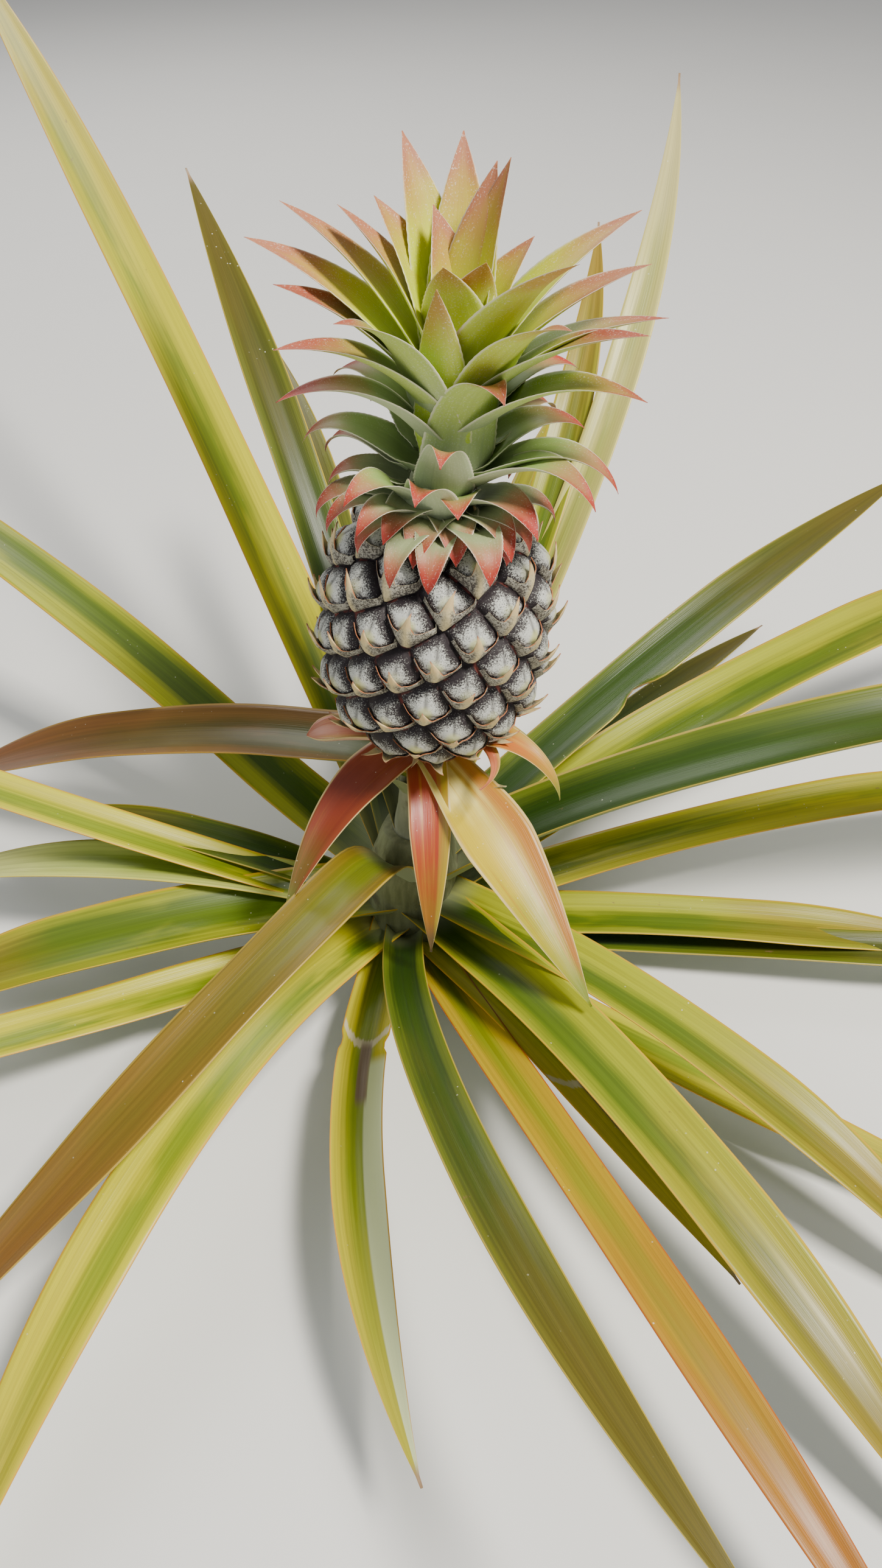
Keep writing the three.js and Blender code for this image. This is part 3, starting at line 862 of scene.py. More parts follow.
@dataclass
class Barrel:
    """The fruit's barrel shape, round its own middle, and the spiral of eyes on it."""

    bottom: float = 163.0
    height: float = 123.0
    radius: float = 51.0
    power: float = 2.55
    eye_turn: float = 137.3
    eye_pitch: float = 1.2
    front_turn: float = -90.0
    front_rise: float = 15.0
    count_below: int = 64
    count_above: int = 38
    slices: int = 400
    neighbours: int = 8
    closest: int = 4
    widest_cell: float = 16.0
    off_pole: float = 1e-4
    slope_step: float = 0.004
    tiny: float = 1e-3
    centres: list[Vector] = field(default_factory=list)
    outs: list[Vector] = field(default_factory=list)
    near: list[list[int]] = field(default_factory=list)
    finder: kdtree.KDTree | None = None

    def point(self, a: float) -> tuple[float, float]:
        """A point of the outline.

        Args:
            a: its polar angle, 0 at the top.

        Returns:
            Its radius and its height over the middle.
        """
        share = 2.0 / self.power
        cos = math.cos(a)
        radius = self.radius * max(0.0, math.sin(a)) ** share
        return radius, self.height / 2.0 * math.copysign(abs(cos) ** share, cos)

    def out_at(self, a: float, turn: float) -> Vector:
        """The outward direction of the skin.

        Args:
            a: the polar angle.
            turn: the turn about the axis.

        Returns:
            The direction.
        """
        low = self.point(min(math.pi - self.off_pole, a + self.slope_step))
        high = self.point(max(self.off_pole, a - self.slope_step))
        along = Vector((high[0] - low[0], 0.0, high[1] - low[1]))
        out = Vector((along.z, 0.0, -along.x)).normalized()
        return around(out.x, turn, out.z)

    def spread_eyes(self) -> None:
        """Shares the skin evenly among the eyes, which climb it in one close spiral."""
        rows, area, last = [], 0.0, self.point(math.pi)
        for i in range(self.slices + 1):
            a = max(math.pi * (1.0 - i / self.slices), 0.0)
            here = self.point(a)
            area += math.pi * (here[0] + last[0]) * math.dist(here, last)
            rows.append((area, a, here[1]))
            last = here
        front = next(row[0] for row in rows if row[2] >= self.front_rise)
        share = math.tau * self.radius * self.eye_pitch
        for i in range(-self.count_below, self.count_above + 1):
            a = next(row[1] for row in rows if row[0] >= front + i * share)
            radius, height = self.point(a)
            turn = math.radians(self.front_turn + self.eye_turn * i)
            self.centres.append(around(radius, turn, height))
            self.outs.append(self.out_at(a, turn))
        self.finder = kdtree.KDTree(len(self.centres))
        for i, centre in enumerate(self.centres):
            self.finder.insert(centre, i)
        self.finder.balance()
        for centre in self.centres:
            found = self.finder.find_n(centre, self.neighbours + 1)
            self.near.append([index for _, index, _ in found[1:]])

    def axes(self, eye: int) -> tuple[Vector, Vector, Vector]:
        """An eye's own directions.

        Args:
            eye: its number.

        Returns:
            Along the skin to the right, up the skin, and outwards.
        """
        out = self.outs[eye]
        right = Vector((0.0, 0.0, 1.0)).cross(out).normalized()
        return right, out.cross(right), out

    def cell_reach(self, eye: int, turn: float) -> float:
        """How far an eye's cell reaches from its middle.

        Args:
            eye: its number.
            turn: the direction along the skin, from its right.

        Returns:
            The distance in millimetres.
        """
        right, up, _ = self.axes(eye)
        way = right * math.cos(turn) + up * math.sin(turn)
        reach = self.widest_cell
        for other in self.near[eye]:
            apart = self.centres[other] - self.centres[eye]
            toward = apart.dot(way)
            if toward > self.tiny:
                reach = min(reach, apart.length_squared / (2.0 * toward))
        return reach

    def groove_distance(self, point: Vector) -> tuple[int, float]:
        """Finds the eye that a point on the barrel belongs to.

        Args:
            point: the point.

        Returns:
            The eye's number, and the distance from the point to its groove.
        """
        (centre, eye, near), *others = self.finder.find_n(point, self.closest)
        distance = min((far**2 - near**2) / (2.0 * (other - centre).length)
                       for other, _, far in others)
        return eye, distance


@dataclass
class Fruit:
    """The fruit: one skin of domed eyes, and a papery scale with a spine under each eye."""

    barrel: Barrel
    turns: int = 400
    rings: int = 236
    sunk: float = 1.8
    dome: float = 3.0
    shoulder: float = 1.6
    crown_of_eye: float = 3.6
    eye_radius: float = 12.0
    nose_height: float = 1.1
    nose_radius: float = 3.0
    nose_drop: float = -1.2
    crease_depth: float = 0.5
    crease_width: float = 0.75
    crease_span: tuple[float, float] = (1.0, 4.0)
    creases: tuple[float, ...] = (90.0, 208.0, 332.0)
    lumps: tuple[tuple[float, float], ...] = ((0.22, 0.35), (0.10, 1.3))
    flat_end: float = 6.0
    groove_span: float = 8.0
    nose_span: float = 4.2
    groups: int = 8
    scale_grid: tuple[int, int] = (18, 11)
    scale_thickness: float = 0.5
    scale_spread: float = 88.0
    scale_share: float = 0.95
    crowding: float = 1.35
    keel_height: float = 1.7
    keel_half: float = 3.6
    spine_length: tuple[float, float] = (7.5, 11.5)
    spine_more_at_ends: float = 2.0
    spine_lift: tuple[float, float] = (1.0, 1.2)
    spine_bend: float = 0.4
    spine_power: float = 1.35
    spine_from: tuple[float, float] = (0.70, 1.0)
    lip_drop: tuple[float, float] = (0.30, 0.44)
    tone_seed: int = 7
    scale_seed: int = 31

    def skin_height(self, x: float, y: float, distance: float) -> float:
        """How far the skin stands out from the barrel at a point of an eye.

        Args:
            x: the point's place to the right of the eye's middle.
            y: its place up the skin.
            distance: how far it is from the groove.

        Returns:
            The height in millimetres.
        """
        edge = self.dome * (1.0 - math.exp(-max(0.0, distance) / self.shoulder))
        top = self.crown_of_eye * max(0.0, 1.0 - (math.hypot(x, y) / self.eye_radius) ** 2)
        nose = self.nose_height * bump_at(math.hypot(x, y - self.nose_drop), 0.0, self.nose_radius)
        return edge + top + nose - self.crease_depth * self.crease(x, y) - self.sunk

    def crease(self, x: float, y: float) -> float:
        """How deep a point lies in one of the three folds that meet at the eye's nose.

        Args:
            x: the point's place to the right of the eye's middle.
            y: its place up the skin.

        Returns:
            The depth from 0 to 1.
        """
        y -= self.nose_drop
        best = 0.0
        for turn in self.creases:
            a = math.radians(turn)
            forward = x * math.cos(a) + y * math.sin(a)
            if forward > 0.0:
                off = abs(x * math.sin(a) - y * math.cos(a))
                best = max(best, bump_at(off, 0.0, self.crease_width))
        return best * ease(math.hypot(x, y), *self.crease_span)

    def build_skin(self, material: bpy.types.Material) -> bpy.types.Object:
        """Raises the eyes on a fine sphere that is first shaped to the barrel.

        Args:
            material: the eyes' finish.

        Returns:
            The fruit's skin, which replaces the plain solid.
        """
        barrel = self.barrel
        bm = bmesh.new()
        bmesh.ops.create_uvsphere(bm, u_segments=self.turns, v_segments=self.rings, radius=1.0)
        layers = {key: bm.verts.layers.float.new(key)
                  for key in ("from_groove", "nose", "tone", "crease")}
        tones = random.Random(self.tone_seed)
        tone = [tones.random() for _ in barrel.centres]
        for vert in bm.verts:
            a = math.acos(max(-1.0, min(1.0, vert.co.z)))
            turn = math.atan2(vert.co.y, vert.co.x)
            radius, height = barrel.point(a)
            base = around(radius, turn, height)
            eye, distance = barrel.groove_distance(base)
            right, up, _ = barrel.axes(eye)
            local = base - barrel.centres[eye]
            x, y = local.dot(right), local.dot(up)
            out = barrel.out_at(a, turn)
            stand = self.skin_height(x, y, distance)
            stand += sum(size * noise.noise(base * rate) for size, rate in self.lumps)
            room = min(1.0, max(0.0, (barrel.height / 2.0 - abs(height)) / self.flat_end))
            flat = Vector((out.x, out.y, out.z * room))
            vert.co = base + flat * stand
            vert[layers["from_groove"]] = min(1.0, distance / self.groove_span)
            vert[layers["nose"]] = bump_at(math.hypot(x, y - self.nose_drop), 0.0, self.nose_span)
            vert[layers["tone"]] = tone[eye]
            vert[layers["crease"]] = self.crease(x, y)
        self.settle(bm)
        piece = to_piece(bm, "fruit_eyes", [material])
        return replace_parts(piece, "fruit")

    def settle(self, bm: bmesh.types.BMesh) -> None:
        """Moves a mesh made round the barrel's middle to the fruit's place.

        Args:
            bm: the mesh, changed in place.
        """
        middle = (0.0, 0.0, self.barrel.bottom + self.barrel.height / 2.0)
        bmesh.ops.translate(bm, verts=bm.verts[:], vec=middle)
        bmesh.ops.transform(bm, matrix=UPRIGHT, verts=bm.verts[:])

    def add_scale(self, bm: bmesh.types.BMesh, eye: int, rand: random.Random) -> None:
        """Adds the scale under one eye: a thin shell over its lower part, with a lip and a spine.

        Args:
            bm: the mesh that it joins.
            eye: the eye's number.
            rand: the source of its small differences.
        """
        barrel = self.barrel
        spine_layer = bm.verts.layers.float["spine"]
        verts = add_strap(bm, *self.scale_grid)
        right, up, out = barrel.axes(eye)
        low = -barrel.centres[eye].z / (barrel.height / 2.0)
        length = rand.uniform(*self.spine_length) + self.spine_more_at_ends * abs(low)
        lift = rand.uniform(*self.spine_lift)
        side_bend = rand.uniform(-self.spine_bend, self.spine_bend)
        lip_drop = rand.uniform(*self.lip_drop)
        below = barrel.cell_reach(eye, -math.pi / 2.0)
        for vert in verts:
            u, v, level = vert.co.x * 2.0, vert.co.y + 0.5, vert.co.z
            u = math.copysign(abs(u) ** self.crowding, u)
            turn = math.radians(270.0 + u * self.scale_spread)
            reach = barrel.cell_reach(eye, turn)
            outer = Vector((math.cos(turn), math.sin(turn))) * reach * self.scale_share
            lip = Vector((outer.x * 0.96, 0.0))
            lip.y = max((-lip_drop + (lip_drop + 0.12) * abs(u) ** 2.4) * below, outer.y)
            flat = outer.lerp(lip, ease(v, 0.0, 0.9) * 0.6 + 0.4 * min(1.0, v / 0.9))
            base = barrel.centres[eye] + right * flat.x + up * flat.y
            groove = barrel.groove_distance(base)[1] if v > 0.02 else 0.0
            stand = self.skin_height(flat.x, flat.y, groove) + 0.1 + ease(v, 0.0, 0.85)
            peak = max(0.0, 1.0 - abs(flat.x) / self.keel_half)
            stand += self.keel_height * peak * ease(v, 0.1, 0.8)
            spine = peak**self.spine_power * ease(v, *self.spine_from)
            way = out * (0.55 - 0.2 * spine) + up * lift + right * side_bend * spine
            stand += (level - 0.5) * self.scale_thickness
            vert.co = base + out * stand + way.normalized() * length * spine
            vert[spine_layer] = spine

    def build_scales(self, material: bpy.types.Material) -> list[bpy.types.Object]:
        """Builds the scales in a few joined groups.

        Args:
            material: the scales' finish.

        Returns:
            The groups.
        """
        rand = random.Random(self.scale_seed)
        groups = []
        for group in range(self.groups):
            bm = bmesh.new()
            bm.loops.layers.uv.new(BLADE_MAP)
            bm.verts.layers.float.new("spine")
            for eye in range(group, len(self.barrel.centres), self.groups):
                self.add_scale(bm, eye, rand)
            self.settle(bm)
            groups.append(to_piece(bm, f"fruit_scales_{group + 1}", [material]))
        return groups


class Tone(Enum):
    """The kinds of long leaf, each with its finish."""

    OLIVE = StrapFinish(
        "leaf_olive", (0.03, 0.07, 0.004), (0.085, 0.135, 0.005), (0.32, 0.34, 0.01),
        (0.60, 0.38, 0.02), (0.26, 0.16, 0.012), painted_shade_lean=-0.12)
    # Leaves that lie in shadow: a deep green that is partly their own colour and partly painted shade.
    DARK_AND_SHADED = StrapFinish(
        "leaf_dark_and_shaded", (0.01, 0.032, 0.003), (0.028, 0.062, 0.004), (0.11, 0.15, 0.008),
        (0.46, 0.34, 0.04), (0.11, 0.08, 0.008), tip_from=0.45, band=0.6, bleach=0.12, seed=3.0)
    BROWN = StrapFinish(
        "leaf_brown", (0.085, 0.115, 0.005), (0.115, 0.08, 0.007), (0.21, 0.10, 0.014),
        (0.46, 0.26, 0.04), (0.19, 0.068, 0.016), tip_from=0.4, bleach=0.5, seed=5.0,
        sheath=(0.15, 0.21, 0.02))
    TAWNY = StrapFinish(
        "leaf_tawny", (0.125, 0.165, 0.008), (0.125, 0.105, 0.006), (0.175, 0.12, 0.008),
        (0.46, 0.32, 0.05), (0.20, 0.08, 0.014), tip_from=0.5, under=(0.42, 0.47, 0.36),
        sheath=(0.42, 0.48, 0.34), seed=6.0)
    PALE = StrapFinish(
        "leaf_pale", (0.06, 0.11, 0.008), (0.26, 0.33, 0.04), (0.50, 0.55, 0.12),
        (0.62, 0.50, 0.08), (0.50, 0.50, 0.18), band=0.3, bleach=0.5, seed=7.0)
    # Gold leaves: the bright yellow middle and margin are partly their own gold and partly painted
    # highlight.
    GOLD = StrapFinish(
        "leaf_gold", (0.06, 0.11, 0.004), (0.20, 0.26, 0.006), (0.52, 0.48, 0.012),
        (0.70, 0.38, 0.02), (0.42, 0.33, 0.012), band=0.3, painted_shade_lean=0.1, bleach=0.6, seed=11.0)
    ORANGE = StrapFinish(
        "leaf_orange", (0.10, 0.15, 0.004), (0.23, 0.235, 0.004), (0.42, 0.29, 0.006),
        (0.46, 0.11, 0.006), (0.32, 0.085, 0.006), tip_from=0.45, band=0.35, bleach=0.5,
        seed=13.0)
    BRONZE = StrapFinish(
        "leaf_bronze", (0.11, 0.13, 0.015), (0.30, 0.32, 0.06), (0.50, 0.47, 0.12),
        (0.68, 0.55, 0.12), (0.50, 0.44, 0.20), band=0.25, bleach=0.5, seed=17.0,
        under=(0.33, 0.32, 0.10))
    FOLDED = StrapFinish(
        "leaf_folded", (0.17, 0.26, 0.012), (0.26, 0.32, 0.01), (0.50, 0.43, 0.015),
        (0.76, 0.38, 0.02), (0.42, 0.38, 0.03), band=0.3, pale_half=0.60, scar_at=0.335,
        seed=19.0)
    SCARRED = StrapFinish(
        "leaf_scarred", (0.13, 0.19, 0.006), (0.36, 0.38, 0.01), (0.60, 0.52, 0.02),
        (0.76, 0.42, 0.02), (0.54, 0.40, 0.03), band=0.25, bleach=0.6, scar_at=0.60,
        seed=23.0)


# Each long leaf: name, azimuth, foot height, rise, tip angle, bend, length, width, sweep, tone
LONG_LEAVES = (
    ("leaf_back_left_tall", 118, 37, 46, 18, 0.35, 860, 32, 0, Tone.GOLD),
    ("leaf_back_left_inner", 117, 77, 53, 26, 1.0, 420, 25, -4, Tone.DARK_AND_SHADED),
    ("leaf_left_upper", 143.9, 28, 24.7, -17, 2.26, 619, 37, 3.4, Tone.OLIVE),
    ("leaf_left_brown", 159.5, 131, 20, -32, 0.34, 365, 43, 0, Tone.BROWN),
    ("leaf_left_thin", 181, 12, 24, 18, 1.05, 490, 25, -14, Tone.GOLD),
    ("leaf_left_short", 172, 14, 30, 0, 1.0, 230, 28, 0, Tone.DARK_AND_SHADED),
    ("leaf_left_pale", 183, 16, 26, -28, 1.25, 305, 30, -11, Tone.PALE),
    ("leaf_left_middle", 196, 27, 25, -11, 0.42, 320, 44, 0, Tone.OLIVE),
    ("leaf_left_lower", 209, 10, 7, 8, 1.0, 440, 28, -6, Tone.GOLD),
    ("leaf_front_left_arched", 241, 79, 76, -32, 0.24, 380, 32, -24, Tone.TAWNY),
    ("leaf_front_left_low", 235.5, 8.1, 39.8, -28.2, 0.68, 440, 32, 18, Tone.GOLD),
    ("leaf_front_folded", 252, 18, 9, 1, 1.05, 325, 25, 40, Tone.FOLDED),
    ("leaf_front_right_inner", 266, 9, 33, -6, 1.65, 457, 22, 40, Tone.DARK_AND_SHADED),
    ("leaf_front_right_outer", 289, 8, 19, -27, 1.7, 490, 23, 15, Tone.ORANGE),
    ("leaf_front_right_scarred", 301, 8, 23, -15, 1.3, 285, 25, 3, Tone.SCARRED),
    ("leaf_right_broad", 304, 24, 31, -27, 0.75, 440, 35, 0, Tone.OLIVE),
    ("leaf_right_lower", 321, 8, 3, 2, 1.0, 380, 25, 10, Tone.GOLD),
    ("leaf_right_upper", 319, 36, 20, -31, 1.1, 380, 31, -2, Tone.OLIVE),
    ("leaf_right_thin", 351, 8, 4, 2, 1.0, 430, 25, 5, Tone.DARK_AND_SHADED),
    ("leaf_right_middle", 354, 10, 11, -11, 1.0, 352, 32, 3, Tone.OLIVE),
    ("leaf_right_gold", 11, 10, 17, -18, 1.3, 450, 31, 5, Tone.GOLD),
    ("leaf_right_dark", 359, 29, 69, -3, 0.35, 576, 41, 7, Tone.DARK_AND_SHADED),
    ("leaf_right_back", 24, 15, 36, -13, 0.8, 555, 43, 10, Tone.OLIVE),
    ("leaf_back_right_low", 48, 12, 25, -7, 0.3, 400, 25, 0, Tone.DARK_AND_SHADED),
    ("leaf_back_right_shaded", 33, 46, 34, 5, 0.77, 422, 32, 8, Tone.DARK_AND_SHADED),
    ("leaf_back_right_tall", 40, 63, 55, 33, 0.95, 475, 20, 44, Tone.BRONZE),
    ("leaf_back_right_inner", 46, 80, 54, 30, 1.0, 370, 22, 40, Tone.OLIVE),
    ("leaf_back_one", 72, 44, 36, 0, 1.0, 440, 32, 0, Tone.OLIVE),
    ("leaf_back_two", 90, 30, 34, 4, 1.0, 460, 32, 0, Tone.GOLD),
    ("leaf_back_three", 106, 48, 38, 6, 1.0, 430, 32, 0, Tone.DARK_AND_SHADED),
)


@dataclass
class Rosette:
    """The long leaves round the stem."""

    special: dict[str, dict[str, object]] = field(default_factory=lambda: {
        "leaf_front_folded": {
            "roll": -8.0, "vee": 0.35, "vee_from": 0.37, "foot_share": 1.25,
            "bites": ((0.335, 0.012, 0.20, 1), (0.335, 0.010, 0.14, -1)),
        },
        "leaf_back_right_shaded": {"bites": ((0.40, 0.03, 0.55, -1),), "roll": 0.0},
        "leaf_right_dark": {"arc": 1.0, "roll": 0.0},
        "leaf_left_upper": {"arc": 0.35, "tip_arc": 0.35, "roll": 4.0},
        "leaf_left_brown": {"roll": -6.0},
        "leaf_left_middle": {"arc": 0.95, "roll": 0.0},
        "leaf_front_left_arched": {
            "low_foot": (8.0, -15.0, 50.0), "foot_share": 0.55, "full_at": 0.14, "arc": 0.5,
            "foot_arc": 0.6, "roll": 6.0,
        },
        "leaf_front_left_low": {"arc": 0.35, "tip_arc": 0.35, "roll": 6.0},
    })
    rolls: float = 6.0
    waves: tuple[float, float] = (0.3, 0.9)
    wave_counts: tuple[float, float] = (1.5, 3.5)
    lowest: float = 1.0
    seed: int = 5

    def build(self) -> list[bpy.types.Object]:
        """Builds and dresses every long leaf.

        Returns:
            The leaves.
        """
        skins = {tone: tone.value.make() for tone in Tone}
        rand = random.Random(self.seed)
        pieces = []
        for name, *line, tone in LONG_LEAVES:
            looks = {
                "roll": rand.uniform(-self.rolls, self.rolls), "wave": rand.uniform(*self.waves),
                "waves": rand.uniform(*self.wave_counts), "seed": rand.uniform(0.0, SEEDS),
            }
            bm = Blade(name, *line, **(looks | self.special.get(name, {}))).build()
            self.keep_above_ground(bm)
            piece = to_piece(bm, f"{name}_blade", [skins[tone]])
            pieces.append(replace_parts(piece, name))
        return pieces

    def keep_above_ground(self, bm: bmesh.types.BMesh) -> None:
        """Lifts what would reach below the ground just clear of it.

        Args:
            bm: the mesh, changed in place.
        """
        for vert in bm.verts:
            vert.co.z = max(vert.co.z, self.lowest)


class Blush(Enum):
    """The kinds of bract, each with its finish."""

    RED = BractFinish(
        "bract_red", (0.44, 0.12, 0.04), (0.36, 0.04, 0.008), (0.28, 0.11, 0.006),
        (0.50, 0.19, 0.015), (0.40, 0.30, 0.012), (0.13, 0.08, 0.03), (0.50, 0.30, 0.16))
    RUST = BractFinish(
        "bract_rust", (0.38, 0.10, 0.04), (0.21, 0.028, 0.007), (0.15, 0.085, 0.006),
        (0.28, 0.075, 0.012), (0.30, 0.05, 0.012), (0.13, 0.15, 0.01), (0.36, 0.25, 0.12), seed=2.0)
    # The cream bract's pale foot is a painted highlight on its top.
    CREAM = BractFinish(
        "bract_cream", (0.80, 0.70, 0.26), (0.58, 0.43, 0.01), (0.32, 0.30, 0.003),
        (0.48, 0.27, 0.003), (0.42, 0.13, 0.002), (0.20, 0.24, 0.008), (0.74, 0.66, 0.24),
        flank_at=0.72, seed=3.0)
    CORAL = BractFinish(
        "bract_coral", (0.58, 0.12, 0.03), (0.58, 0.15, 0.025), (0.40, 0.24, 0.02),
        (0.66, 0.30, 0.06), (0.50, 0.30, 0.04), (0.24, 0.24, 0.02), (0.60, 0.58, 0.22), seed=5.0)
    PINK = BractFinish(
        "bract_pink", (0.56, 0.13, 0.07), (0.58, 0.13, 0.07), (0.58, 0.18, 0.08),
        (0.70, 0.36, 0.16), (0.62, 0.34, 0.08), (0.46, 0.14, 0.06), (0.76, 0.52, 0.36), seed=6.0)
    GREEN = BractFinish(
        "stalk_leaf_green", (0.30, 0.37, 0.18), (0.28, 0.37, 0.16), (0.25, 0.32, 0.11),
        (0.40, 0.45, 0.22), (0.38, 0.43, 0.20), (0.40, 0.35, 0.17), (0.37, 0.43, 0.24),
        rim=(0.52, 0.54, 0.32), seed=9.0)


# Each bract or stalk leaf that stands in for a plain one: name, azimuth, foot height, rise,
# tip angle, bend, length, width, sweep, skin
BRACTS = (
    ("bract_front", 276, 148, 6, -77, 0.7, 115, 21, -8, Blush.RED),
    ("bract_left", 219, 148, 42, -54, 0.37, 119, 31, 12.5, Blush.RUST),
    ("bract_right", 306, 146, 16, -37, 0.25, 158, 39, 0, Blush.CREAM),
    ("bract_far_right", 338, 148, 34, -84, 1.8, 93, 24, -8, Blush.CORAL),
    ("bract_far_left", 188, 151, 22, -2, 1.0, 61, 21, 2, Blush.PINK),
    ("bract_back_left", 120, 148, 4, -50, 1.0, 80, 26, 0, Blush.RED),
    ("bract_back", 80, 149, 0, -60, 1.0, 84, 26, 0, Blush.RUST),
    ("bract_back_right", 34, 148, 4, -50, 1.0, 80, 26, 0, Blush.CORAL),
    ("stalk_leaf_front", 236, 102, 66, 50, 1.0, 52, 18, 0, Blush.GREEN),
    ("stalk_leaf_right", 330, 98, 60, 20, 1.0, 70, 20, 0, Blush.GREEN),
    ("stalk_leaf_back", 100, 104, 60, 30, 1.0, 70, 20, 0, Blush.GREEN),
)

# Small extra bracts right under the fruit, in the same columns
SMALL_BRACTS = (
    ("small_bract_front_left", 255, 158, -30, -88, 0.7, 42, 6, 0, Blush.PINK),
    ("small_bract_front", 262, 158, -20, -80, 0.8, 36, 5, 0, Blush.CORAL),
    ("small_bract_front_right", 292, 158, -14, -84, 1.0, 40, 7, 14, Blush.PINK),
    ("small_bract_curled", 360, 160, 4, 10, 3.0, 78, 9, -130, Blush.PINK),
    ("small_bract_left", 206, 158, -20, -70, 1.0, 30, 6, 0, Blush.CORAL),
    ("small_bract_right", 4, 158, -16, -60, 1.0, 34, 7, 0, Blush.PINK),
    ("small_bract_back", 60, 158, -20, -70, 1.0, 36, 7, 0, Blush.CORAL),
    ("small_bract_back_left", 140, 158, -20, -74, 1.0, 36, 7, 0, Blush.PINK),
)


@dataclass
class Collar:
    """The bracts that hang under the fruit, and the small leaves on its stalk."""

    special: dict[str, dict[str, float]] = field(default_factory=lambda: {
        "bract_far_left": {"taper_from": 0.75, "taper_power": 3.0, "thickness": 4.0, "arc": 1.0},
        "bract_right": {"foot_share": 0.6, "full_at": 0.4, "taper_from": 0.42, "taper_power": 1.25,
                        "roll": 6.0},
        "bract_left": {"roll": 10.0, "foot_share": 0.8, "full_at": 0.35},
        "bract_front": {"taper_from": 0.42, "roll": 3.0},
    })
    shape: dict[str, float] = field(default_factory=lambda: {
        "foot_share": 1.0, "taper_from": 0.3, "taper_power": 1.35, "thickness": 1.4,
        "edge": 0.4, "foot_arc": 0.9, "arc": 0.55, "wave": 0.6, "waves": 1.5,
        "pleat": 0.12, "across": 12, "along": 40,
    })
    rolls: float = 7.0
    seed: int = 11

    def build(self) -> list[bpy.types.Object]:
        """Builds and dresses every bract and stalk leaf.

        Returns:
            The pieces.
        """
        skins = {blush: blush.value.make() for blush in Blush}
        rand = random.Random(self.seed)
        pieces = []
        for name, *line, skin in BRACTS + SMALL_BRACTS:
            looks = {"roll": rand.uniform(-self.rolls, self.rolls)}
            looks["seed"] = rand.uniform(0.0, SEEDS)
            blade = Blade(name, *line, **(self.shape | looks | self.special.get(name, {})))
            piece = to_piece(blade.build(), f"{name}_blade", [skins[skin]])
            small = name.startswith("small")
            pieces.append(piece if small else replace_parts(piece, name))
        return pieces


# The crown's leaves that face the camera: turn about the axis, height of the foot, reach and
# height of the tip, curl, how late it curls, distance of the foot from the axis, and width
CROWN_FACING = (
    (263, 287, 47, 271, 125, 1.6, 24, 18), (245, 287, 52, 273, 120, 1.6, 26, 16),
    (291, 288, 54, 279, 120, 1.8, 24, 22), (228, 289, 55, 292.5, 110, 1.8, 22, 20),
    (223, 293, 58, 305, 110, 2.2, 20, 24), (254, 290, 50, 312, 125, 3.5, 22, 26),
    (264, 297, 48, 329, 125, 4.0, 18, 26), (288, 303, 54, 358.5, 110, 2.2, 14, 33),
    (251, 310, 34, 392, 12, 1.5, 12, 25), (228, 318, 70, 384.5, 60, 1.6, 10, 29),
    (301, 318, 70, 391.5, 60, 1.6, 10, 29), (277, 288, 42, 282, 95, 1.5, 12, 24),
    (253, 288, 44, 280, 95, 1.5, 12, 24), (306, 289, 48, 284, 110, 1.6, 14, 22),
    (312, 292, 56, 297, 95, 2.0, 12, 26), (236, 291, 46, 288, 95, 1.6, 12, 24),
    (276, 294, 40, 303, 80, 1.8, 12, 26),
)

# Its other front leaves: turn, height of the foot, reach and height of the tip
CROWN_FRONT = (
    (218, 289, 46, 277), (205, 291, 55, 283), (190, 292, 56, 281), (182, 296, 51, 293),
    (320, 290, 47, 284), (350, 290, 49, 286), (310, 289, 42, 278), (322, 300, 74, 314),
    (338, 303, 75, 313), (8, 303, 58, 323), (170, 303, 64, 306), (203, 312, 76, 343),
    (333, 315, 81, 357), (208, 322, 79, 367), (331, 325, 78, 383), (186, 326, 73, 380),
    (348, 326, 80, 382), (176, 330, 85, 392), (352, 331, 70, 399), (170, 336, 73, 404),
    (304, 340, 65, 412),
    (8, 336, 66, 412), (250, 343, 26, 397), (150, 340, 42, 406), (28, 338, 30, 398),
    (168, 340, 51, 405), (125, 342, 47, 425), (30, 342, 16, 427), (55, 342, 16, 424),
    (95, 342, 38, 427), (130, 343, 21, 406), (290, 342, 20, 398),
)

# The back leaves by height of the foot: reach and height of the tip
CROWN_BACK = (
    (289, 46, 272), (300, 58, 296), (312, 64, 318), (325, 62, 338), (335, 54, 356), (343, 44, 376),
)

# By the height of a crown leaf's tip: its curl over its length, how late it curls, the distance
# of its foot from the axis, its width, how full its outer half is, and its cup
CROWN_CURL = (
    (284, 115), (320, 98), (340, 80), (360, 65), (380, 50), (400, 42), (415, 38), (430, 15),
)
CROWN_BEND = ((300, 2.6), (345, 1.7), (375, 1.1), (400, 1.0))
CROWN_INSIDE = ((284, 18), (320, 12), (345, 5))
CROWN_WIDTH = ((278, 18), (296, 23), (320, 28), (390, 32), (415, 30), (436, 26))
CROWN_FULL = ((345, 1.7), (390, 2.3))
CROWN_CUP = ((345, 0.66), (390, 0.5))


def read_table(rows: Sequence[Sequence[float]], key: float, column: int = 1) -> float:
    """A value of a table of rows that start with their key, straight between the rows.

    Args:
        rows: the table, in the order of its keys.
        key: the key that is looked up.
        column: the column that is wanted.

    Returns:
        The value.
    """
    if key <= rows[0][0]:
        return rows[0][column]
    for low, high in zip(rows, rows[1:]):
        if key <= high[0]:
            return lerp(low[column], high[column], (key - low[0]) / (high[0] - low[0]))
    return rows[-1][column]


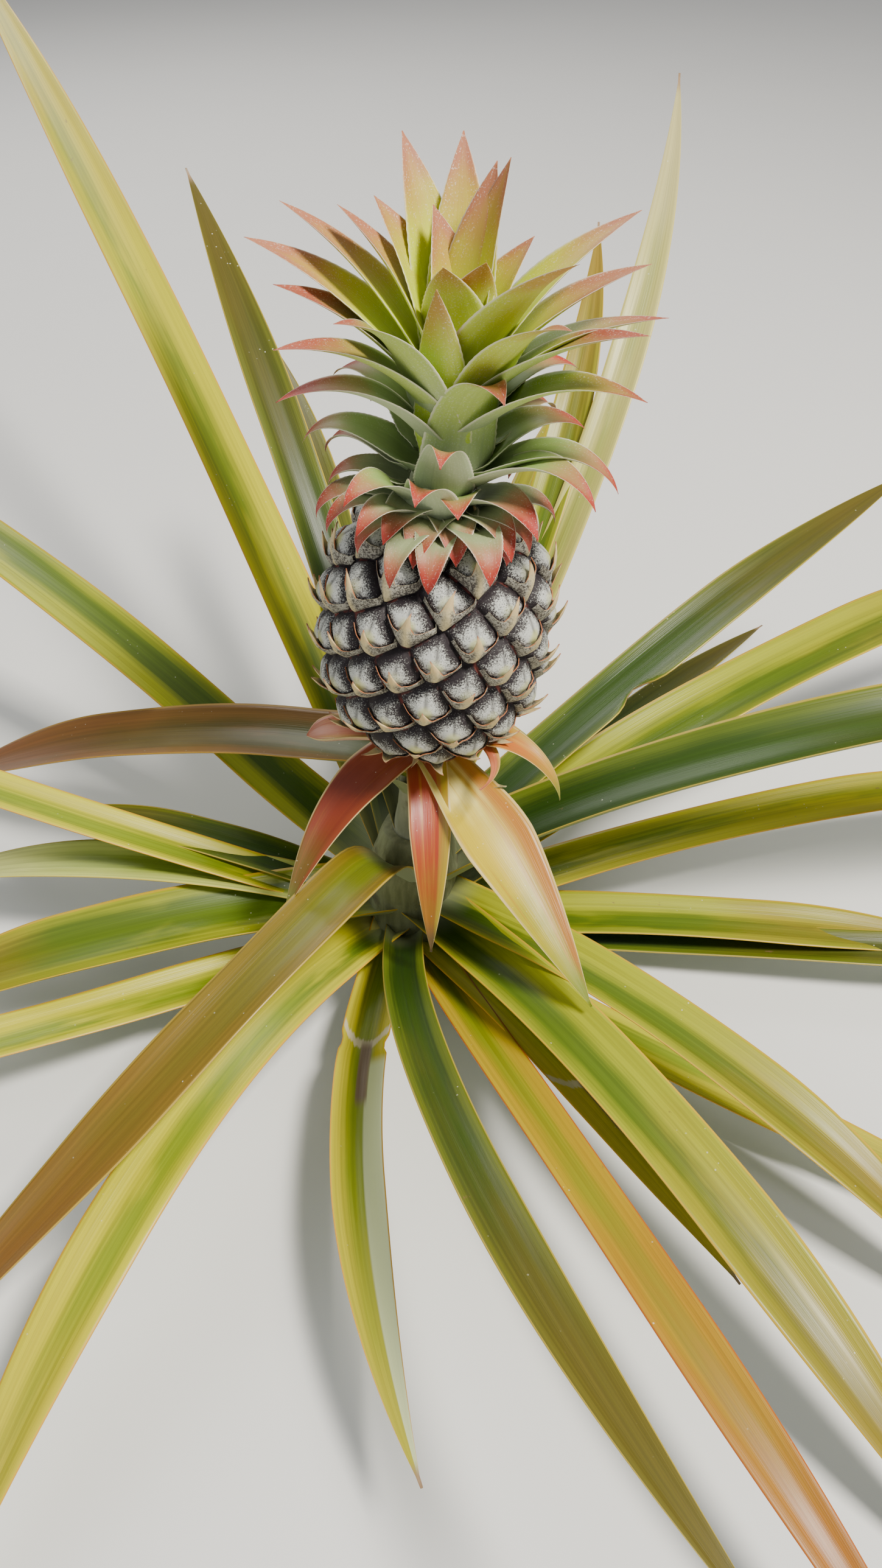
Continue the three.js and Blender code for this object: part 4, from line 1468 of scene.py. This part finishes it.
class Tuft(Enum):
    """The kinds of crown leaf, from the lowest to the innermost, each with its finish."""

    LOW = CrownFinish(
        "crown_low", (0.24, 0.29, 0.15), (0.27, 0.31, 0.15), (0.36, 0.11, 0.05),
        (0.36, 0.022, 0.012), tip_from=0.68, painted_sparkle=0.5, under_middle=(0.42, 0.46, 0.29))
    OUTER = CrownFinish(
        "crown_outer", (0.20, 0.29, 0.09), (0.25, 0.36, 0.09), (0.34, 0.17, 0.06),
        (0.38, 0.034, 0.016), tip_from=0.74, under_middle=(0.44, 0.52, 0.29), seed=2.0)
    MIDDLE = CrownFinish(
        "crown_middle", (0.15, 0.26, 0.02), (0.26, 0.38, 0.02), (0.32, 0.19, 0.04),
        (0.34, 0.075, 0.036), tip_from=0.76, painted_sparkle=0.6, under_middle=(0.44, 0.56, 0.12),
        seed=4.0)
    INNER = CrownFinish(
        "crown_inner", (0.38, 0.54, 0.01), (0.54, 0.62, 0.01), (0.46, 0.28, 0.04),
        (0.42, 0.15, 0.07), tip_from=0.74, painted_sparkle=0.7, under_foot=(0.42, 0.58, 0.05),
        under_middle=(0.54, 0.64, 0.07), seed=6.0)


@dataclass
class Crown:
    """The tuft of leaves on the fruit, from small red-tipped ones to the erect inner ones."""

    turn: float = 137.5
    back_first: float = 25.0
    back_last: float = 165.0
    back_steps: int = 42
    kinds: tuple[float, float, float] = (300.0, 345.0, 391.0)
    rolls: float = 6.0
    unit_steps: int = 60
    seed: int = 23
    shape: dict[str, float | bool] = field(default_factory=lambda: {
        "foot_share": 0.9, "full_at": 0.2, "taper_from": 0.14, "tip_width": 0.5,
        "thickness": 1.6, "edge": 0.3, "foot_arc": 1.1, "tip_arc": 0.4, "wave": 0.35,
        "waves": 1.5, "pleat": 0.08, "teeth": 0.3, "across": 12, "along": 50, "upright": True,
    })

    def rows(self) -> list[tuple[float, ...]]:
        """The leaves of the front and, by a spiral, those of the back.

        Returns:
            A row for each, with all eight columns.
        """
        rows = list(CROWN_FRONT)
        low, high = CROWN_BACK[0][0], CROWN_BACK[-1][0]
        for i in range(self.back_steps + 1):
            turn = (self.turn * i) % 360.0
            foot = lerp(low, high, i / self.back_steps)
            if self.back_first < turn < self.back_last:
                reach, top = (read_table(CROWN_BACK, foot, column) for column in (1, 2))
                rows.append((turn, foot, reach, top))
        tables = (CROWN_CURL, CROWN_BEND, CROWN_INSIDE, CROWN_WIDTH)
        rows = [row + tuple(read_table(table, row[3]) for table in tables) for row in rows]
        return [*CROWN_FACING, *rows]

    def blade(self, index: int, row: tuple[float, ...], rand: random.Random) -> Blade:
        """The shape of one leaf, which curls from its foot to the place of its tip.

        Args:
            index: its number.
            row: its row of the table.
            rand: the source of its small differences.

        Returns:
            The blade.
        """
        turn, foot, reach, top, curl, bend, inside, width = row
        unit = Blade("unit", 0.0, 0.0, 0.0, -curl, bend, 1.0, 1.0, upright=True)
        end = unit.middle_line(self.unit_steps)[-1]
        length = math.hypot(reach - inside, top - foot) / math.hypot(end.x, end.z)
        rise = math.degrees(math.atan2(top - foot, reach - inside) - math.atan2(end.z, end.x))
        return Blade(
            f"crown_leaf_{index + 1:02d}", turn, foot, rise, rise - curl, bend, length, width,
            start_out=inside, taper_power=read_table(CROWN_FULL, top),
            arc=read_table(CROWN_CUP, top), roll=rand.uniform(-self.rolls, self.rolls),
            seed=rand.uniform(0.0, SEEDS), **self.shape)

    def build(self) -> list[bpy.types.Object]:
        """Builds and dresses the crown.

        Returns:
            Its leaves.
        """
        skins = [tuft.value.make() for tuft in Tuft]
        rand = random.Random(self.seed)
        pieces = []
        for index, row in enumerate(self.rows()):
            blade = self.blade(index, row, rand)
            kind = sum(row[3] > level for level in self.kinds)
            piece = to_piece(blade.build(), blade.name, [skins[kind]])
            pieces.append(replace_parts(piece, "crown"))
        return pieces


@dataclass
class Stalk:
    """The stem at the ground and the stalk that carries the fruit."""

    sides: int = 48
    stem_profile: tuple[tuple[float, float], ...] = (
        (33.0, 0.0), (29.0, 12.0), (26.0, 30.0), (26.0, 62.0), (19.0, 90.0))
    stalk_profile: tuple[tuple[float, float], ...] = (
        (13.5, 90.3), (11.5, 106.0), (11.5, 138.0), (16.0, 162.7))
    stem_rough: float = 2.0
    stalk_rough: float = 0.8
    cuts: int = 9
    grain: float = 0.16
    even_foot: float = 0.5

    def turned(self, profile: Sequence[tuple[float, float]], rough: float) -> bmesh.types.BMesh:
        """Spins a profile about the plant's axis and roughens it.

        Args:
            profile: radius and height pairs, from the bottom.
            rough: the height of its unevenness.

        Returns:
            The closed mesh.
        """
        bm = bmesh.new()
        points = [Vector((0.0, 0.0, profile[0][1]))]
        points += [Vector((radius, 0.0, height)) for radius, height in profile]
        points.append(Vector((0.0, 0.0, profile[-1][1])))
        verts = [bm.verts.new(point) for point in points]
        edges = [bm.edges.new(pair) for pair in zip(verts, verts[1:])]
        bmesh.ops.subdivide_edges(bm, edges=edges[1:-1], cuts=self.cuts)
        bmesh.ops.spin(
            bm, geom=bm.verts[:] + bm.edges[:], cent=(0, 0, 0), axis=(0, 0, 1),
            angle=math.tau, steps=self.sides, use_merge=True, use_duplicate=False)
        bmesh.ops.remove_doubles(bm, verts=bm.verts[:], dist=1e-4)
        bmesh.ops.recalc_face_normals(bm, faces=bm.faces[:])
        bottom = profile[0][1]
        for vert in bm.verts:
            flat = Vector((vert.co.x, vert.co.y, 0.0))
            if flat.length > 1.0 and vert.co.z > bottom + self.even_foot:
                drawn_out = Vector((vert.co.x, vert.co.y, vert.co.z * 0.5))
                uneven = noise.noise(drawn_out * self.grain)
                vert.co -= flat.normalized() * rough * (0.5 + 0.5 * uneven)
            vert.co.x += vert.co.z * math.tan(LEAN)
        return bm

    def build(self) -> list[bpy.types.Object]:
        """Builds and dresses the stem and the stalk.

        Returns:
            The two pieces.
        """
        bark = StalkFinish("stem_skin", (0.30, 0.32, 0.18), (0.17, 0.18, 0.09)).make()
        skin = StalkFinish("stalk_skin", (0.46, 0.48, 0.34), (0.30, 0.32, 0.22)).make()
        body = self.turned(self.stem_profile, self.stem_rough)
        stem = to_piece(body, "stem_body", [bark])
        body = self.turned(self.stalk_profile, self.stalk_rough)
        stalk = to_piece(body, "stalk_body", [skin])
        return [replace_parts(stem, "stem"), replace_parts(stalk, "peduncle")]


@dataclass
class Studio:
    """The camera of the photograph, a pale floor and soft light."""

    eye: tuple[float, float, float] = (20.0, -477.0, 557.0)
    pitch_down: float = 42.5
    focal_px: float = 2000.0
    photo_height: float = 2576.0
    sensor: float = 36.0
    floor_size: float = 12.0
    nearest: float = 0.01
    sky: Colour = (0.93, 0.96, 1.0)
    sky_strength: float = 0.30
    aim: tuple[float, float, float] = (0.0, 0.0, 0.2)
    lamps: tuple[tuple[str, Colour, float, float, Colour], ...] = (
        ("key", (0.9, -0.6, 2.0), 0.45, 82.0, (1.0, 0.96, 0.87)),
        ("fill", (-1.6, -1.2, 1.4), 1.6, 12.0, (0.92, 0.96, 1.0)),
        ("rim", (-0.6, 1.8, 1.6), 1.2, 22.0, (1.0, 0.98, 0.94)))

    def build(self) -> None:
        """Sets the floor, the camera, the world and the lights."""
        scene = bpy.context.scene
        bm = bmesh.new()
        bmesh.ops.create_grid(bm, x_segments=2, y_segments=2, size=self.floor_size / 2.0)
        mesh = bpy.data.meshes.new("floor")
        bm.to_mesh(mesh)
        bm.free()
        mesh.materials.append(FloorFinish().make())
        floor = bpy.data.objects.new("floor", mesh)
        scene.collection.objects.link(floor)
        data = bpy.data.cameras.new("camera")
        data.sensor_width = self.sensor
        data.lens = self.focal_px / self.photo_height * self.sensor
        data.clip_start = self.nearest
        camera = bpy.data.objects.new("camera", data)
        camera.location = Vector(self.eye) * MM
        camera.rotation_euler = (math.radians(90.0 - self.pitch_down), 0.0, 0.0)
        scene.collection.objects.link(camera)
        scene.camera = camera
        world = bpy.data.worlds.new("studio")
        world.use_nodes = True
        sky = world.node_tree.nodes["Background"]
        sky.inputs["Color"].default_value = (*self.sky, 1.0)
        sky.inputs["Strength"].default_value = self.sky_strength
        scene.world = world
        for line in self.lamps:
            self.lamp(*line)

    def lamp(self, name: str, place: Sequence[float], size: float, power: float,
             colour: Colour) -> None:
        """Adds one soft square lamp that faces the fruit.

        Args:
            name: the lamp's name.
            place: where it hangs, in metres.
            size: its side.
            power: its strength in watts.
            colour: its colour.
        """
        data = bpy.data.lights.new(name, "AREA")
        data.size = size
        data.energy = power
        data.color = colour
        lamp = bpy.data.objects.new(name, data)
        lamp.location = place
        aim = Vector(self.aim) - Vector(place)
        lamp.rotation_euler = aim.to_track_quat("-Z", "Y").to_euler()
        bpy.context.scene.collection.objects.link(lamp)


def main() -> None:
    """Builds the plant from the ground up, then the studio round it."""
    logging.basicConfig(level=logging.INFO, format="%(name)s %(message)s")
    Stalk().build()
    Rosette().build()
    Collar().build()
    barrel = Barrel()
    barrel.spread_eyes()
    fruit = Fruit(barrel)
    fruit.build_skin(EyeFinish().make())
    fruit.build_scales(ScaleFinish().make())
    Crown().build()
    Studio().build()


if __name__ == "__main__":
    main()
